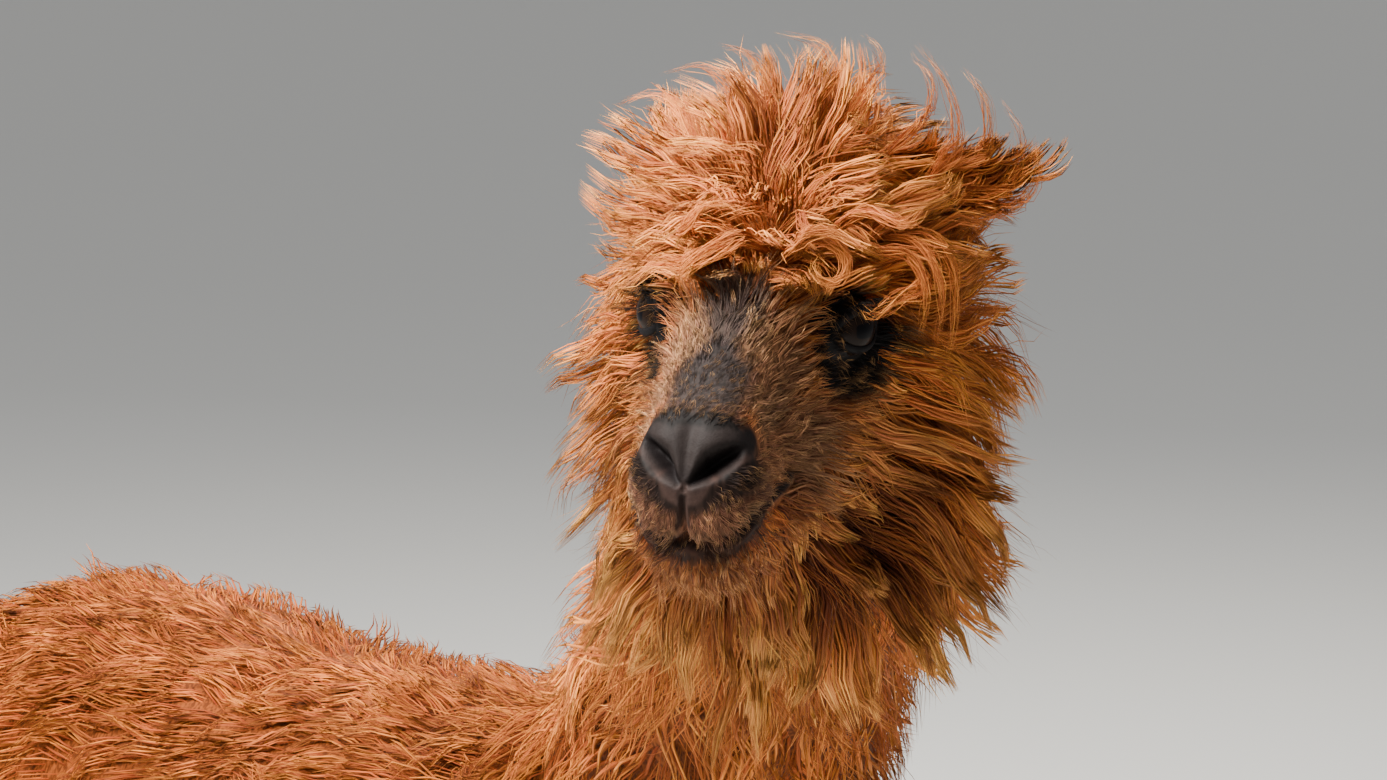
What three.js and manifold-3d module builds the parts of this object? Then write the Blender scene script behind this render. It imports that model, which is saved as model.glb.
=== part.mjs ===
// A life-size huacaya alpaca, standing square with its neck stretched forward and its head turned to its right.
// Millimetres, +Z up, +X the way the body faces, +Y to its left. The origin is on the floor, under the middle of
// the bounding box. Every solid reaches out to the tips of the fleece. The flesh is built as one body from lofts,
// and then parted where a person would name its parts, with a thin gap at each cut.
import * as THREE from "three";
import { mergeVertices } from "three/addons/utils/BufferGeometryUtils.js";
import Module from "manifold-3d";

const wasm = await Module();
wasm.setup();

const GAP = 0.4; // between neighbouring pieces
const REACH = 3000; // larger than the animal

// Body, with x measured from the withers and z from the floor
const BACK_HEIGHT = 898;
const BELLY_HEIGHT = 400;
const TRUNK_HALF_WIDTH = 205;
const CHEST_X = 215;
const RUMP_X = -690;

// Head
const EYE_MIDPOINT = new THREE.Vector3(520, -330, 1245);
const HEAD_YAW = -64.5; // degrees from straight ahead, to the right
const HEAD_NOSE_DOWN = 5;
const HEAD_ROLL = -2.3;
const EYE_RADIUS = 18.5;
const EYE_CENTRE = new THREE.Vector3(-6, 52, 0); // of the left eye, in the head's own frame
const HOLLOW_CENTRE = new THREE.Vector3(-4, 90, 1); // of the hollow in the fleece around an eye
const HOLLOW_SIZE = [38, 34, 27];
const EAR_LENGTH = 112;

// Legs
const FORE_TRACK = 112; // from the middle of the body to a foot
const HIND_TRACK = 116;
const FORE_X = 10;
const HIND_X = -545;
const KNEE_HEIGHT = 305;
const HOCK_HEIGHT = 345;
const FETLOCK_HEIGHT = 92;
const TOE_LENGTH = 88;
const TOE_HALF_WIDTH = 19;
const TOE_SPREAD = 19;

const FLEECE = new THREE.MeshStandardMaterial({ color: 0xa8552a, roughness: 0.95, metalness: 0 });
const FACE = new THREE.MeshStandardMaterial({ color: 0x6b4a3c, roughness: 0.85, metalness: 0 });
const EYE = new THREE.MeshStandardMaterial({ color: 0x0c0d12, roughness: 0.08, metalness: 0 });
const NAIL = new THREE.MeshStandardMaterial({ color: 0x2a2320, roughness: 0.5, metalness: 0 });

const X = new THREE.Vector3(1, 0, 0);
const Y = new THREE.Vector3(0, 1, 0);
const Z = new THREE.Vector3(0, 0, 1);
const radians = THREE.MathUtils.degToRad;

// --- Curves and lofts ---

// A smooth function through rows of [position, value, value, ...], with the positions rising, and no overshoot.
function profile(rows) {
  const step = (i, k) => (rows[i + 1][k] - rows[i][k]) / (rows[i + 1][0] - rows[i][0]);
  const slope = (i, k) => {
    if (i === 0) return step(0, k);
    if (i === rows.length - 1) return step(i - 1, k);
    const [before, after] = [step(i - 1, k), step(i, k)];
    return before * after <= 0 ? 0 : (2 * before * after) / (before + after);
  };
  return (at) => {
    const x = THREE.MathUtils.clamp(at, rows[0][0], rows[rows.length - 1][0]);
    const i = Math.max(0, Math.min(rows.length - 2, rows.findIndex((row) => row[0] > x) - 1));
    const last = x >= rows[rows.length - 1][0] ? rows.length - 2 : i;
    const [from, to] = [rows[last], rows[last + 1]];
    const width = to[0] - from[0];
    const t = (x - from[0]) / width;
    return from.slice(1).map((value, n) => {
      const k = n + 1;
      const rise = t * t * (3 - 2 * t);
      const bend = width * t * (1 - t) * ((1 - t) * slope(last, k) - t * slope(last + 1, k));
      return value + rise * (to[k] - value) + bend;
    });
  };
}

// How full a section is at a distance from a rounded end of the given depth.
function roundEnd(distance, depth) {
  return distance >= depth ? 1 : Math.sqrt(Math.max(0, 1 - (1 - distance / depth) ** 2));
}

// Positions from start to end that crowd together towards both ends.
function stations(start, end, count) {
  return Array.from({ length: count }, (_, i) => {
    const share = (i + 1) / (count + 1);
    const eased = 0.5 - 0.5 * Math.cos(Math.PI * share);
    return THREE.MathUtils.lerp(start, end, 0.5 * share + 0.5 * eased);
  });
}

// A closed surface through rings, with a point at each end. A ring has a centre, the directions right and up,
// halfWidth, and its reach above and below the centre. A fullness under 1 makes its section squarer.
function loft(rings, sides, startPoint, endPoint) {
  const points = [];
  for (const { centre, right, up, halfWidth, above, below, fullness = 1, bend = 0 } of rings)
    for (let j = 0; j < sides; j++) {
      const angle = (2 * Math.PI * j) / sides;
      const [c, s] = [Math.cos(angle), Math.sin(angle)];
      const across = Math.sign(c) * Math.abs(c) ** fullness;
      const upward = Math.sign(s) * Math.abs(s) ** fullness * (s > 0 ? above : below) + bend * c * c;
      points.push(centre.clone().addScaledVector(right, across * halfWidth).addScaledVector(up, upward));
    }
  const startIndex = points.push(startPoint) - 1;
  const endIndex = points.push(endPoint) - 1;
  const faces = [];
  const last = (rings.length - 1) * sides;
  for (let j = 0; j < sides; j++) {
    const next = (j + 1) % sides;
    faces.push(startIndex, next, j, endIndex, last + j, last + next);
    for (let i = 0; i < last; i += sides)
      faces.push(i + j, i + next, i + sides + next, i + j, i + sides + next, i + sides + j);
  }
  const geometry = new THREE.BufferGeometry();
  geometry.setAttribute("position", new THREE.Float32BufferAttribute(points.flatMap((p) => p.toArray()), 3));
  geometry.setIndex(faces);
  return geometry;
}

// --- Solids ---

function solidOf(geometry) {
  const bare = geometry.clone();
  bare.deleteAttribute("normal");
  bare.deleteAttribute("uv");
  const merged = mergeVertices(bare, 1e-3);
  const triVerts = new Uint32Array(merged.index.array);
  const mesh = new wasm.Mesh({ numProp: 3, vertProperties: merged.attributes.position.array, triVerts });
  mesh.merge();
  const solid = new wasm.Manifold(mesh);
  if (solid.volume() > 0) return solid;
  for (let i = 0; i < triVerts.length; i += 3)
    [triVerts[i + 1], triVerts[i + 2]] = [triVerts[i + 2], triVerts[i + 1]];
  return new wasm.Manifold(new wasm.Mesh({ numProp: 3, vertProperties: merged.attributes.position.array, triVerts }));
}

function meshOf(name, solid, material) {
  const { numVert, numProp, vertProperties, triVerts } = solid.getMesh();
  const positions = new Float32Array(numVert * 3);
  for (let i = 0; i < numVert; i++)
    positions.set(vertProperties.subarray(i * numProp, i * numProp + 3), i * 3);
  const geometry = new THREE.BufferGeometry();
  geometry.setAttribute("position", new THREE.BufferAttribute(positions, 3));
  geometry.setIndex(new THREE.BufferAttribute(new Uint32Array(triVerts), 1));
  geometry.computeVertexNormals();
  const mesh = new THREE.Mesh(geometry, material);
  mesh.name = name;
  return mesh;
}

// Everything in front of a plane through point that faces along normal, starting a little past it.
function beyond(point, normal, start = 0) {
  const along = normal.clone().normalize();
  const turn = new THREE.Quaternion().setFromUnitVectors(X, along);
  const centre = point.clone().addScaledVector(along, REACH / 2 + start);
  const box = new THREE.BoxGeometry(REACH, 2 * REACH, 2 * REACH);
  return solidOf(box.applyMatrix4(new THREE.Matrix4().compose(centre, turn, new THREE.Vector3(1, 1, 1))));
}

// Parts a solid at a plane: [what lies in front of it, what lies behind].
function cutAt(solid, point, normal) {
  return [solid.intersect(beyond(point, normal, GAP / 2)), solid.subtract(beyond(point, normal, -GAP / 2))];
}

// What is left of a solid outside another, without loose slivers.
function outside(solid, other) {
  const pieces = solid.subtract(other).decompose();
  return pieces.sort((a, b) => b.volume() - a.volume())[0];
}

// --- Trunk and tail ---

function trunk(grow = 0) {
  // x, half width, top, bottom, height of the widest line
  const shape = profile([
    [RUMP_X, 158, 848, 530, 700],
    [-600, 184, BACK_HEIGHT - 14, 475, 680],
    [-500, 198, BACK_HEIGHT, 440, 660],
    [-420, 204, BACK_HEIGHT, 425, 650],
    [-340, 206, BACK_HEIGHT - 5, 410, 645],
    [-260, 206, BACK_HEIGHT - 20, BELLY_HEIGHT, 640],
    [-140, 204, BACK_HEIGHT - 25, BELLY_HEIGHT, 640],
    [-40, 200, BACK_HEIGHT - 22, 408, 640],
    [60, 186, BACK_HEIGHT - 24, 430, 650],
    [150, 160, 856, 475, 665],
    [CHEST_X, 134, 810, 530, 675],
  ]);
  const rings = stations(RUMP_X, CHEST_X, 19).map((x) => {
    const [halfWidth, top, bottom, widest] = shape(x);
    const full = Math.min(roundEnd(x - RUMP_X, 110), roundEnd(CHEST_X - x, 120));
    return {
      centre: new THREE.Vector3(x, 0, widest),
      right: Y,
      up: Z,
      halfWidth: halfWidth * full + grow,
      above: (top - widest) * full + grow,
      below: (widest - bottom) * full + grow,
      fullness: 0.93,
    };
  });
  const ends = [new THREE.Vector3(RUMP_X - grow, 0, 700), new THREE.Vector3(CHEST_X + grow, 0, 680)];
  return solidOf(loft(rings, 26, ...ends));
}

function tail() {
  const path = new THREE.CatmullRomCurve3([
    new THREE.Vector3(-640, 0, 805),
    new THREE.Vector3(-695, 0, 790),
    new THREE.Vector3(-732, 0, 732),
    new THREE.Vector3(-738, 0, 655),
    new THREE.Vector3(-722, 0, 580),
  ]);
  const size = profile([[0, 34, 30], [0.3, 46, 38], [0.65, 52, 38], [1, 36, 28]]);
  const rings = stations(0, 1, 9).map((t) => {
    const along = path.getTangent(t);
    const [halfWidth, thickness] = size(t).map((s) => s * roundEnd(1 - t, 0.22));
    return {
      centre: path.getPoint(t),
      right: Y,
      up: new THREE.Vector3().crossVectors(along, Y),
      halfWidth,
      above: thickness,
      below: thickness,
    };
  });
  return solidOf(loft(rings, 12, path.getPoint(0), path.getPoint(1)));
}

// --- Legs ---

// A leg as a loft of level sections, from rows of [z, x, y, half length, half width].
function leg(rows, side) {
  const shape = profile(rows);
  const [bottom, top] = [rows[0][0], rows[rows.length - 1][0]];
  const rings = stations(bottom, top, 12).map((z) => {
    const [x, y, halfLength, halfWidth] = shape(z);
    return {
      centre: new THREE.Vector3(x, side * y, z),
      right: X,
      up: Y,
      halfWidth: halfLength,
      above: halfWidth,
      below: halfWidth,
      fullness: 0.95,
    };
  });
  const end = (z) => new THREE.Vector3(shape(z)[0], side * shape(z)[1], z);
  return solidOf(loft(rings, 12, end(bottom), end(top)));
}

function foreleg(side) {
  return leg(
    [
      [22, FORE_X + 14, FORE_TRACK, 36, 32],
      [FETLOCK_HEIGHT, FORE_X, FORE_TRACK, 37, 35],
      [150, FORE_X - 4, FORE_TRACK, 34, 33],
      [230, FORE_X - 2, FORE_TRACK + 1, 38, 36],
      [KNEE_HEIGHT, FORE_X + 4, FORE_TRACK + 2, 47, 44],
      [390, FORE_X - 4, FORE_TRACK + 4, 62, 55],
      [480, FORE_X - 8, FORE_TRACK + 4, 88, 68],
      [600, FORE_X + 8, FORE_TRACK, 112, 72],
      [700, FORE_X + 20, 100, 105, 66],
    ],
    side,
  );
}

function hindLeg(side) {
  return leg(
    [
      [22, HIND_X + 14, HIND_TRACK, 36, 32],
      [FETLOCK_HEIGHT, HIND_X - 2, HIND_TRACK, 37, 35],
      [160, HIND_X - 14, HIND_TRACK, 34, 33],
      [260, HIND_X - 30, HIND_TRACK + 1, 40, 37],
      [HOCK_HEIGHT, HIND_X - 34, HIND_TRACK + 2, 52, 43],
      [410, HIND_X - 12, HIND_TRACK + 4, 72, 54],
      [490, HIND_X + 18, HIND_TRACK + 2, 108, 70],
      [600, HIND_X + 22, HIND_TRACK - 6, 138, 84],
      [700, HIND_X + 14, 100, 128, 80],
    ],
    side,
  );
}

// One padded toe, flat underneath. Its heel is at the origin of its own frame, and it points along +X.
function toe() {
  const shape = profile([[0, 14, 34, 0], [30, TOE_HALF_WIDTH, 46, 0], [62, TOE_HALF_WIDTH, 38, 0], [TOE_LENGTH, 15, 24, 0]]);
  const rings = stations(0, TOE_LENGTH, 5).map((x) => {
    const [halfWidth, height] = shape(x);
    const full = Math.min(roundEnd(x, 16), roundEnd(TOE_LENGTH - x, 18));
    return {
      centre: new THREE.Vector3(x, 0, 13),
      right: Y,
      up: Z,
      halfWidth: halfWidth * full,
      above: (height - 13) * full,
      below: 22 * full,
      fullness: 0.85,
    };
  });
  return loft(rings, 9, new THREE.Vector3(0, 0, 13), new THREE.Vector3(TOE_LENGTH, 0, 13));
}

// A curved nail on the front of a toe, in the toe's frame, grown by the clearance that its bed needs.
function nail(grow = 0) {
  const [length, halfWidth, thickness] = [30, 8, 6.5];
  const rings = stations(0, length, 4).map((x) => {
    const narrowing = roundEnd(x + 6, 12) * (1 - 0.55 * (x / length) ** 2);
    return {
      centre: new THREE.Vector3(TOE_LENGTH - 19 + x, 0, 20 - 0.014 * x * x),
      right: Y,
      up: Z,
      halfWidth: halfWidth * narrowing + grow,
      above: thickness * narrowing + grow,
      below: thickness * narrowing + grow,
    };
  });
  const start = new THREE.Vector3(TOE_LENGTH - 19 - grow, 0, 20);
  return loft(rings, 7, start, new THREE.Vector3(TOE_LENGTH - 19 + length + grow, 0, 20 - 0.014 * length * length));
}

const FLOOR = beyond(new THREE.Vector3(0, 0, 0), Z.clone().negate());

// The two toes of a foot, with the frames that carry them: [{ group, solid }].
function toesAt(x, y) {
  return [1, -1].map((side) => {
    const group = new THREE.Group();
    group.position.set(x - 32, y + side * TOE_SPREAD, 0);
    group.rotation.z = radians(side * 5);
    group.updateMatrix();
    const place = (geometry) => solidOf(geometry.applyMatrix4(group.matrix));
    return { side, group, solid: place(toe()), nailBed: place(nail(GAP)) };
  });
}

// --- Neck ---

// The head's own frame: +X out along the nose, +Y to the head's left, +Z up, origin midway between the eyes.
const headGroup = new THREE.Group();
headGroup.position.copy(EYE_MIDPOINT);
headGroup.rotation.set(radians(HEAD_ROLL), radians(HEAD_NOSE_DOWN), radians(HEAD_YAW), "ZYX");
headGroup.updateMatrix();
const fromHead = (x, y, z) => new THREE.Vector3(x, y, z).applyMatrix4(headGroup.matrix);

const neckPath = new THREE.CatmullRomCurve3([
  new THREE.Vector3(10, 0, 680),
  new THREE.Vector3(130, -4, 770),
  new THREE.Vector3(250, -58, 892),
  new THREE.Vector3(362, -138, 1030),
  fromHead(-135, 0, -120),
  fromHead(-98, 0, -10),
]);

// The neck's section directions at a share of its length. They turn from the body's left to the head's left.
function neckFrame(t) {
  const along = neckPath.getTangent(t);
  const turned = radians(HEAD_YAW) * THREE.MathUtils.smoothstep(t, 0.15, 1);
  const left = Y.clone().applyAxisAngle(Z, turned);
  const up = new THREE.Vector3().crossVectors(along, left).normalize();
  return { centre: neckPath.getPoint(t), right: new THREE.Vector3().crossVectors(up, along), up, along };
}

function neck() {
  // share of the length, half width, reach towards the nape, reach towards the throat
  const shape = profile([
    [0, 160, 150, 185],
    [0.2, 152, 132, 170],
    [0.4, 138, 118, 146],
    [0.6, 128, 108, 126],
    [0.8, 120, 104, 114],
    [1, 96, 88, 92],
  ]);
  const rings = stations(0, 1, 11).map((t) => {
    const full = roundEnd(1 - t, 0.12);
    const [halfWidth, above, below] = shape(t).map((size) => size * full);
    return { ...neckFrame(t), halfWidth, above, below };
  });
  return solidOf(loft(rings, 20, neckPath.getPoint(0), neckPath.getPoint(1)));
}

// --- Head ---

function headLoft(grow = 0) {
  // x, half width, height of the widest line, top, bottom: from the nape to the nose
  const [nape, nose] = [-205, 143];
  const shape = profile([
    [nape, 100, -50, 84, -160],
    [-165, 126, -64, 124, -212],
    [-120, 141, -76, 148, -240],
    [-80, 140, -80, 150, -248],
    [-42, 114, -78, 134, -242],
    [-12, 68, -66, 102, -222],
    [12, 58, -56, 68, -188],
    [35, 52, -58, 38, -152],
    [60, 45, -68, 12, -132],
    [90, 40, -74, -8, -127],
    [120, 38, -74, -22, -122],
    [nose, 34, -68, -32, -108],
  ]);
  const rings = stations(nape, nose, 22).map((x) => {
    const [halfWidth, widest, top, bottom] = shape(x);
    const full = Math.min(roundEnd(x - nape, 70), roundEnd(nose - x, 30));
    return {
      centre: new THREE.Vector3(x, 0, widest),
      right: Y,
      up: Z,
      halfWidth: halfWidth * full + grow,
      above: (top - widest) * full + grow,
      below: (widest - bottom) * full + grow,
      fullness: 0.88,
    };
  });
  const ends = [new THREE.Vector3(nape - grow, 0, -20), new THREE.Vector3(nose + grow, 0, -68)];
  return solidOf(loft(rings, 24, ...ends).applyMatrix4(headGroup.matrix));
}

function eyeball(side, grow = 0) {
  const geometry = new THREE.SphereGeometry(EYE_RADIUS + grow, 14, 9).rotateX(Math.PI / 2);
  const centre = EYE_CENTRE.clone().multiply(new THREE.Vector3(1, side, 1));
  return { geometry, centre };
}

// A spear-shaped ear that points along +X of its own frame, hollowed along its front.
function earGeometry() {
  const shape = profile([[0, 17, 13], [0.35, 29, 12], [0.7, 23, 10], [1, 13, 8]]);
  const rings = stations(0, 1, 8).map((t) => {
    const [halfWidth, thickness] = shape(t).map((size) => size * roundEnd(1 - t, 0.35));
    return {
      centre: new THREE.Vector3(t * EAR_LENGTH, 0, 0),
      right: Y,
      up: Z,
      halfWidth,
      above: thickness,
      below: thickness,
      bend: 9 * Math.sin(Math.PI * t),
    };
  });
  return loft(rings, 12, new THREE.Vector3(0, 0, 0), new THREE.Vector3(EAR_LENGTH, 0, 0));
}

function earGroup(base, direction, roll) {
  const group = new THREE.Group();
  group.position.copy(base);
  group.quaternion.setFromUnitVectors(X, direction.clone().normalize());
  group.quaternion.multiply(new THREE.Quaternion().setFromAxisAngle(X, radians(roll)));
  group.updateMatrix();
  return group;
}

// --- The whole animal ---

const alpaca = new THREE.Group();
const animal = new THREE.Group(); // x from the withers
alpaca.add(animal);
animal.add(headGroup);

// Moves a solid from the animal's frame into a group's own, so that the group's place and turn carry it.
function into(group, solid) {
  group.updateWorldMatrix(true, false);
  const inverse = group.matrixWorld.clone().invert();
  return solid.transform(inverse.toArray());
}

const trunkSolid = trunk();
const trunkClear = trunk(GAP);

// Each leg starts at the trunk's surface, and is cut at the knee or hock, and above the foot.
function addLeg(name, solid, x, y, bend) {
  const toes = toesAt(x, y);
  let limb = solid;
  for (const toe of toes) limb = limb.add(toe.solid);
  for (const toe of toes) limb = limb.subtract(toe.nailBed);
  const whole = outside(limb.subtract(FLOOR), trunkClear);
  const down = Z.clone().negate();
  const [lower, upper] = cutAt(whole, new THREE.Vector3(x, y, bend), down);
  const [foot, shank] = cutAt(lower, new THREE.Vector3(x, y, FETLOCK_HEIGHT - 22), down);
  animal.add(meshOf(name + "_upper", upper, FLEECE));
  animal.add(meshOf(name + "_shank", shank, FLEECE));
  animal.add(meshOf(name + "_foot", foot, FACE));
  for (const { side, group } of toes) {
    group.add(meshOf(name + (side > 0 ? "_nail_left" : "_nail_right"), solidOf(nail()), NAIL));
    animal.add(group);
  }
}
for (const [word, side] of [["left", 1], ["right", -1]]) {
  addLeg("foreleg_" + word, foreleg(side), FORE_X, side * FORE_TRACK, KNEE_HEIGHT);
  addLeg("hindleg_" + word, hindLeg(side), HIND_X, side * HIND_TRACK, HOCK_HEIGHT);
}

// Head: the muzzle is cut off in front of the eyes, and the lower jaw off the muzzle.
const headX = X.clone().transformDirection(headGroup.matrix);
const headZ = Z.clone().transformDirection(headGroup.matrix);
const headWhole = headLoft();
let [muzzle, headSolid] = cutAt(headWhole, fromHead(52, 0, 0), headX);
const [jaw, upperMuzzle] = cutAt(muzzle, fromHead(137, 0, -96), headX.clone().multiplyScalar(0.16).sub(headZ));

// The eyes stand in hollows of the fleece.
function takeFromHead(geometry) {
  headSolid = headSolid.subtract(solidOf(geometry.applyMatrix4(headGroup.matrix)));
}
for (const [side, word] of [[1, "left"], [-1, "right"]]) {
  const { geometry, centre } = eyeball(side);
  const eye = new THREE.Mesh(geometry, EYE);
  eye.name = "eye_" + word;
  eye.position.copy(centre);
  headGroup.add(eye);
  const hollow = new THREE.SphereGeometry(1, 14, 9).scale(...HOLLOW_SIZE);
  takeFromHead(hollow.translate(HOLLOW_CENTRE.x, side * HOLLOW_CENTRE.y, HOLLOW_CENTRE.z));
  const socket = eyeball(side, GAP);
  takeFromHead(socket.geometry.translate(socket.centre.x, socket.centre.y, socket.centre.z));
}

const ears = [
  ["ear_left", earGroup(new THREE.Vector3(-88, 38, 72), new THREE.Vector3(-0.12, 1, 0.06), -60)],
  ["ear_right", earGroup(new THREE.Vector3(-92, -40, 72), new THREE.Vector3(-0.82, -0.62, 0.16), 60)],
];
for (const [name, group] of ears) {
  headGroup.add(group);
  const whole = solidOf(earGeometry()).transform(headGroup.matrix.clone().multiply(group.matrix).toArray());
  group.userData = { name, whole };
}
for (const [name, group] of ears) {
  const ear = outside(group.userData.whole, headLoft(GAP));
  group.add(meshOf(name, into(group, ear), FLEECE));
}

headGroup.add(meshOf("head", into(headGroup, headSolid), FLEECE));
headGroup.add(meshOf("muzzle", into(headGroup, upperMuzzle), FACE));
headGroup.add(meshOf("lower_jaw", into(headGroup, jaw), FACE));

// Neck and trunk. The neck runs from the trunk's surface up to the mane.
const neckMiddle = neckFrame(0.5);
const freeNeck = outside(outside(neck(), trunkClear), headLoft(GAP));
const [neckUpper, neckLower] = cutAt(freeNeck, neckMiddle.centre, neckMiddle.along);
const [hindquarters, ahead] = cutAt(trunkSolid, new THREE.Vector3(-395, 0, 600), X.clone().negate());
const [shoulders, barrel] = cutAt(ahead, new THREE.Vector3(-95, 0, 600), X);
animal.add(meshOf("neck_upper", neckUpper, FLEECE));
animal.add(meshOf("neck_lower", neckLower, FLEECE));
animal.add(meshOf("shoulders", shoulders, FLEECE));
animal.add(meshOf("barrel", barrel, FLEECE));
animal.add(meshOf("hindquarters", hindquarters, FLEECE));
animal.add(meshOf("tail", outside(tail(), trunkClear), FLEECE));

// The origin goes under the middle of the whole.
const bounds = new THREE.Box3().setFromObject(animal, true);
const middle = bounds.getCenter(new THREE.Vector3());
animal.position.set(-middle.x, -middle.y, -bounds.min.z);

export default alpaca;
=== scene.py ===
# A standing alpaca in full fleece: one skin, glossy eyes, horn toenails, and a coat of mesh locks.
# Shapes are worked out in millimetres, in the animal's own frame or in the head's, and placed at the end.
import math

import bpy
import numpy as np
from mathutils import Matrix, Vector


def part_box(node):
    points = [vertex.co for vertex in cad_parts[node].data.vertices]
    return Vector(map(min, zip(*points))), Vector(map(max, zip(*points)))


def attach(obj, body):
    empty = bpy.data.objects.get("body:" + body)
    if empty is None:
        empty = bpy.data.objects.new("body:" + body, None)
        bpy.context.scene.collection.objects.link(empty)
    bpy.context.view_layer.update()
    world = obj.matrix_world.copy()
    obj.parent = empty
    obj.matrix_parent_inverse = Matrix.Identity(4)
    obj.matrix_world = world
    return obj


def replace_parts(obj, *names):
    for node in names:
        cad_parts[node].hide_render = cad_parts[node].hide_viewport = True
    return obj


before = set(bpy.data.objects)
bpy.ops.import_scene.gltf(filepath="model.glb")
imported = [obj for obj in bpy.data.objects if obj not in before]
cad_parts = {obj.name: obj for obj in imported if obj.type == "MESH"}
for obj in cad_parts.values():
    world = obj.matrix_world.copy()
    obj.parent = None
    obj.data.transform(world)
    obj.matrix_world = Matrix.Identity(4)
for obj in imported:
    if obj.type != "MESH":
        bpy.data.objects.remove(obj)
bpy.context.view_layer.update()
print("frame loaded")

# Where the head is

headPose = {"yaw": -64.5, "noseDown": 5.0, "roll": -2.3}
eye = {"radius": 18.5, "centre": (-6.0, 52.0, 0.0), "axis": (0.46, 0.88, 0.04)}
eyeMidpointInBody = np.array([520.0, -330.0, 1245.0])


# Turn about one axis, as a matrix
def turnAbout(axis, degrees):
    return np.array(Matrix.Rotation(math.radians(degrees), 3, axis))


headTurn = turnAbout("Z", headPose["yaw"]) @ turnAbout("Y", headPose["noseDown"])
headTurn = headTurn @ turnAbout("X", headPose["roll"])
eyeCentres = {side: np.array(sum(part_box("eye_" + side), Vector())) * 500 for side in ("left", "right")}
headPlace = (eyeCentres["left"] + eyeCentres["right"]) / 2 - headTurn @ np.array([eye["centre"][0], 0, 0])
bodyPlace = headPlace - eyeMidpointInBody


def headToModel(points):
    return points @ headTurn.T + headPlace


def modelToHead(points):
    return (points - headPlace) @ headTurn


def unit(vectors):
    return vectors / np.maximum(np.linalg.norm(vectors, axis=-1, keepdims=True), 1e-9)


# Rises from 0 at low to 1 at high, level at both ends
def smooth(value, low, high):
    t = np.clip((value - low) / (high - low), 0, 1)
    return t * t * (3 - 2 * t)


# Camera and lights

cameraSetup = {"lens": 80.0, "sensor": 36.0, "clipEnd": 50, "azimuth": 42.0, "pitch": 9.0,
               "fromEyes": (1163.0, -1343.0, 241.0)}


# The camera stands a fixed distance from the head and looks along an azimuth, pitched down
def makeCamera(setup):
    data = bpy.data.cameras.new("camera")
    data.lens, data.sensor_width, data.clip_end = setup["lens"], setup["sensor"], setup["clipEnd"]
    camera = bpy.data.objects.new("camera", data)
    camera.location = Vector((headPlace + np.array(setup["fromEyes"])) / 1000)
    camera.rotation_euler = (math.radians(90 - setup["pitch"]), 0, math.radians(setup["azimuth"]))
    bpy.context.scene.collection.objects.link(camera)
    bpy.context.scene.camera = camera


lightSetup = {  # where each shines from (azimuth and elevation), its distance and size in metres
    "key": {"from": (-10, 44), "distance": 3.0, "size": 1.5, "watts": 290, "colour": (1.0, 0.97, 0.93)},
    "top": {"from": (-20, 70), "distance": 1.8, "size": 1.9, "watts": 118, "colour": (1.0, 0.98, 0.95)},
    "rim": {"from": (-150, 45), "distance": 4.0, "size": 1.8, "watts": 240, "colour": (1.0, 0.94, 0.84)},
}
studio = {"aim": (0.3, -0.08, 1.15), "shade": (0.90, 0.90, 0.90, 1), "strength": 0.6}


# Each light is an area lamp on a sphere about the animal, turned to face its middle
def makeLights(setup, room):
    for name, light in setup.items():
        a, e = (math.radians(angle) for angle in light["from"])
        back = Vector((math.sin(a) * math.cos(e), -math.cos(a) * math.cos(e), math.sin(e)))
        data = bpy.data.lights.new(name, "AREA")
        data.size, data.energy, data.color = light["size"], light["watts"], light["colour"]
        lamp = bpy.data.objects.new(name, data)
        lamp.location = Vector(room["aim"]) + back * light["distance"]
        lamp.visible_camera = False
        lamp.rotation_euler = back.to_track_quat("Z", "Y").to_euler()
        bpy.context.scene.collection.objects.link(lamp)
    world = bpy.data.worlds.new("studio")
    world.use_nodes = True
    background = world.node_tree.nodes["Background"]
    background.inputs["Color"].default_value = room["shade"]
    background.inputs["Strength"].default_value = room["strength"]
    bpy.context.scene.world = world


makeCamera(cameraSetup)
makeLights(lightSetup, studio)
print("camera and lights made")

# Meshes from arrays

fieldOf = {"FLOAT": "value", "FLOAT_COLOR": "color", "FLOAT_VECTOR": "vector"}


# Stores a number, a colour or a vector for each point of the mesh
def keep(mesh, name, kind, values):
    values = np.asarray(values, np.float32)
    if kind == "FLOAT_COLOR":
        values = np.concatenate([values, np.ones((len(values), 1), np.float32)], 1)
    mesh.attributes.new(name, kind, "POINT").data.foreach_set(fieldOf[kind], values.ravel())


# An object from points in millimetres and triangles, with a smooth surface, named values, the marking's
# colours, the map OFBake and the direction that hair lies in, each given per point
def makeMesh(name, points, triangles, values=None, colours=None, flatUv=None, lay=None):
    mesh = bpy.data.meshes.new(name)
    points, triangles = np.asarray(points, np.float32) / 1000, np.asarray(triangles, np.int32)
    mesh.vertices.add(len(points))
    mesh.vertices.foreach_set("co", points.ravel())
    mesh.loops.add(triangles.size)
    mesh.loops.foreach_set("vertex_index", triangles.ravel())
    mesh.polygons.add(len(triangles))
    mesh.polygons.foreach_set("loop_start", np.arange(0, triangles.size, 3, dtype=np.int32))
    mesh.polygons.foreach_set("use_smooth", np.ones(len(triangles), bool))
    mesh.update(calc_edges=True)
    for key, value in (values or {}).items():
        keep(mesh, key, "FLOAT", value)
    if colours is not None:
        keep(mesh, "marking", "FLOAT_COLOR", colours)
    if lay is not None:
        keep(mesh, "lay", "FLOAT_VECTOR", lay)
    if flatUv is not None:
        layer = mesh.uv_layers.new(name="OFBake")
        layer.data.foreach_set("uv", np.asarray(flatUv, np.float32)[triangles.ravel()].ravel())
    made = bpy.data.objects.new(name, mesh)
    bpy.context.scene.collection.objects.link(made)
    return made


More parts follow.
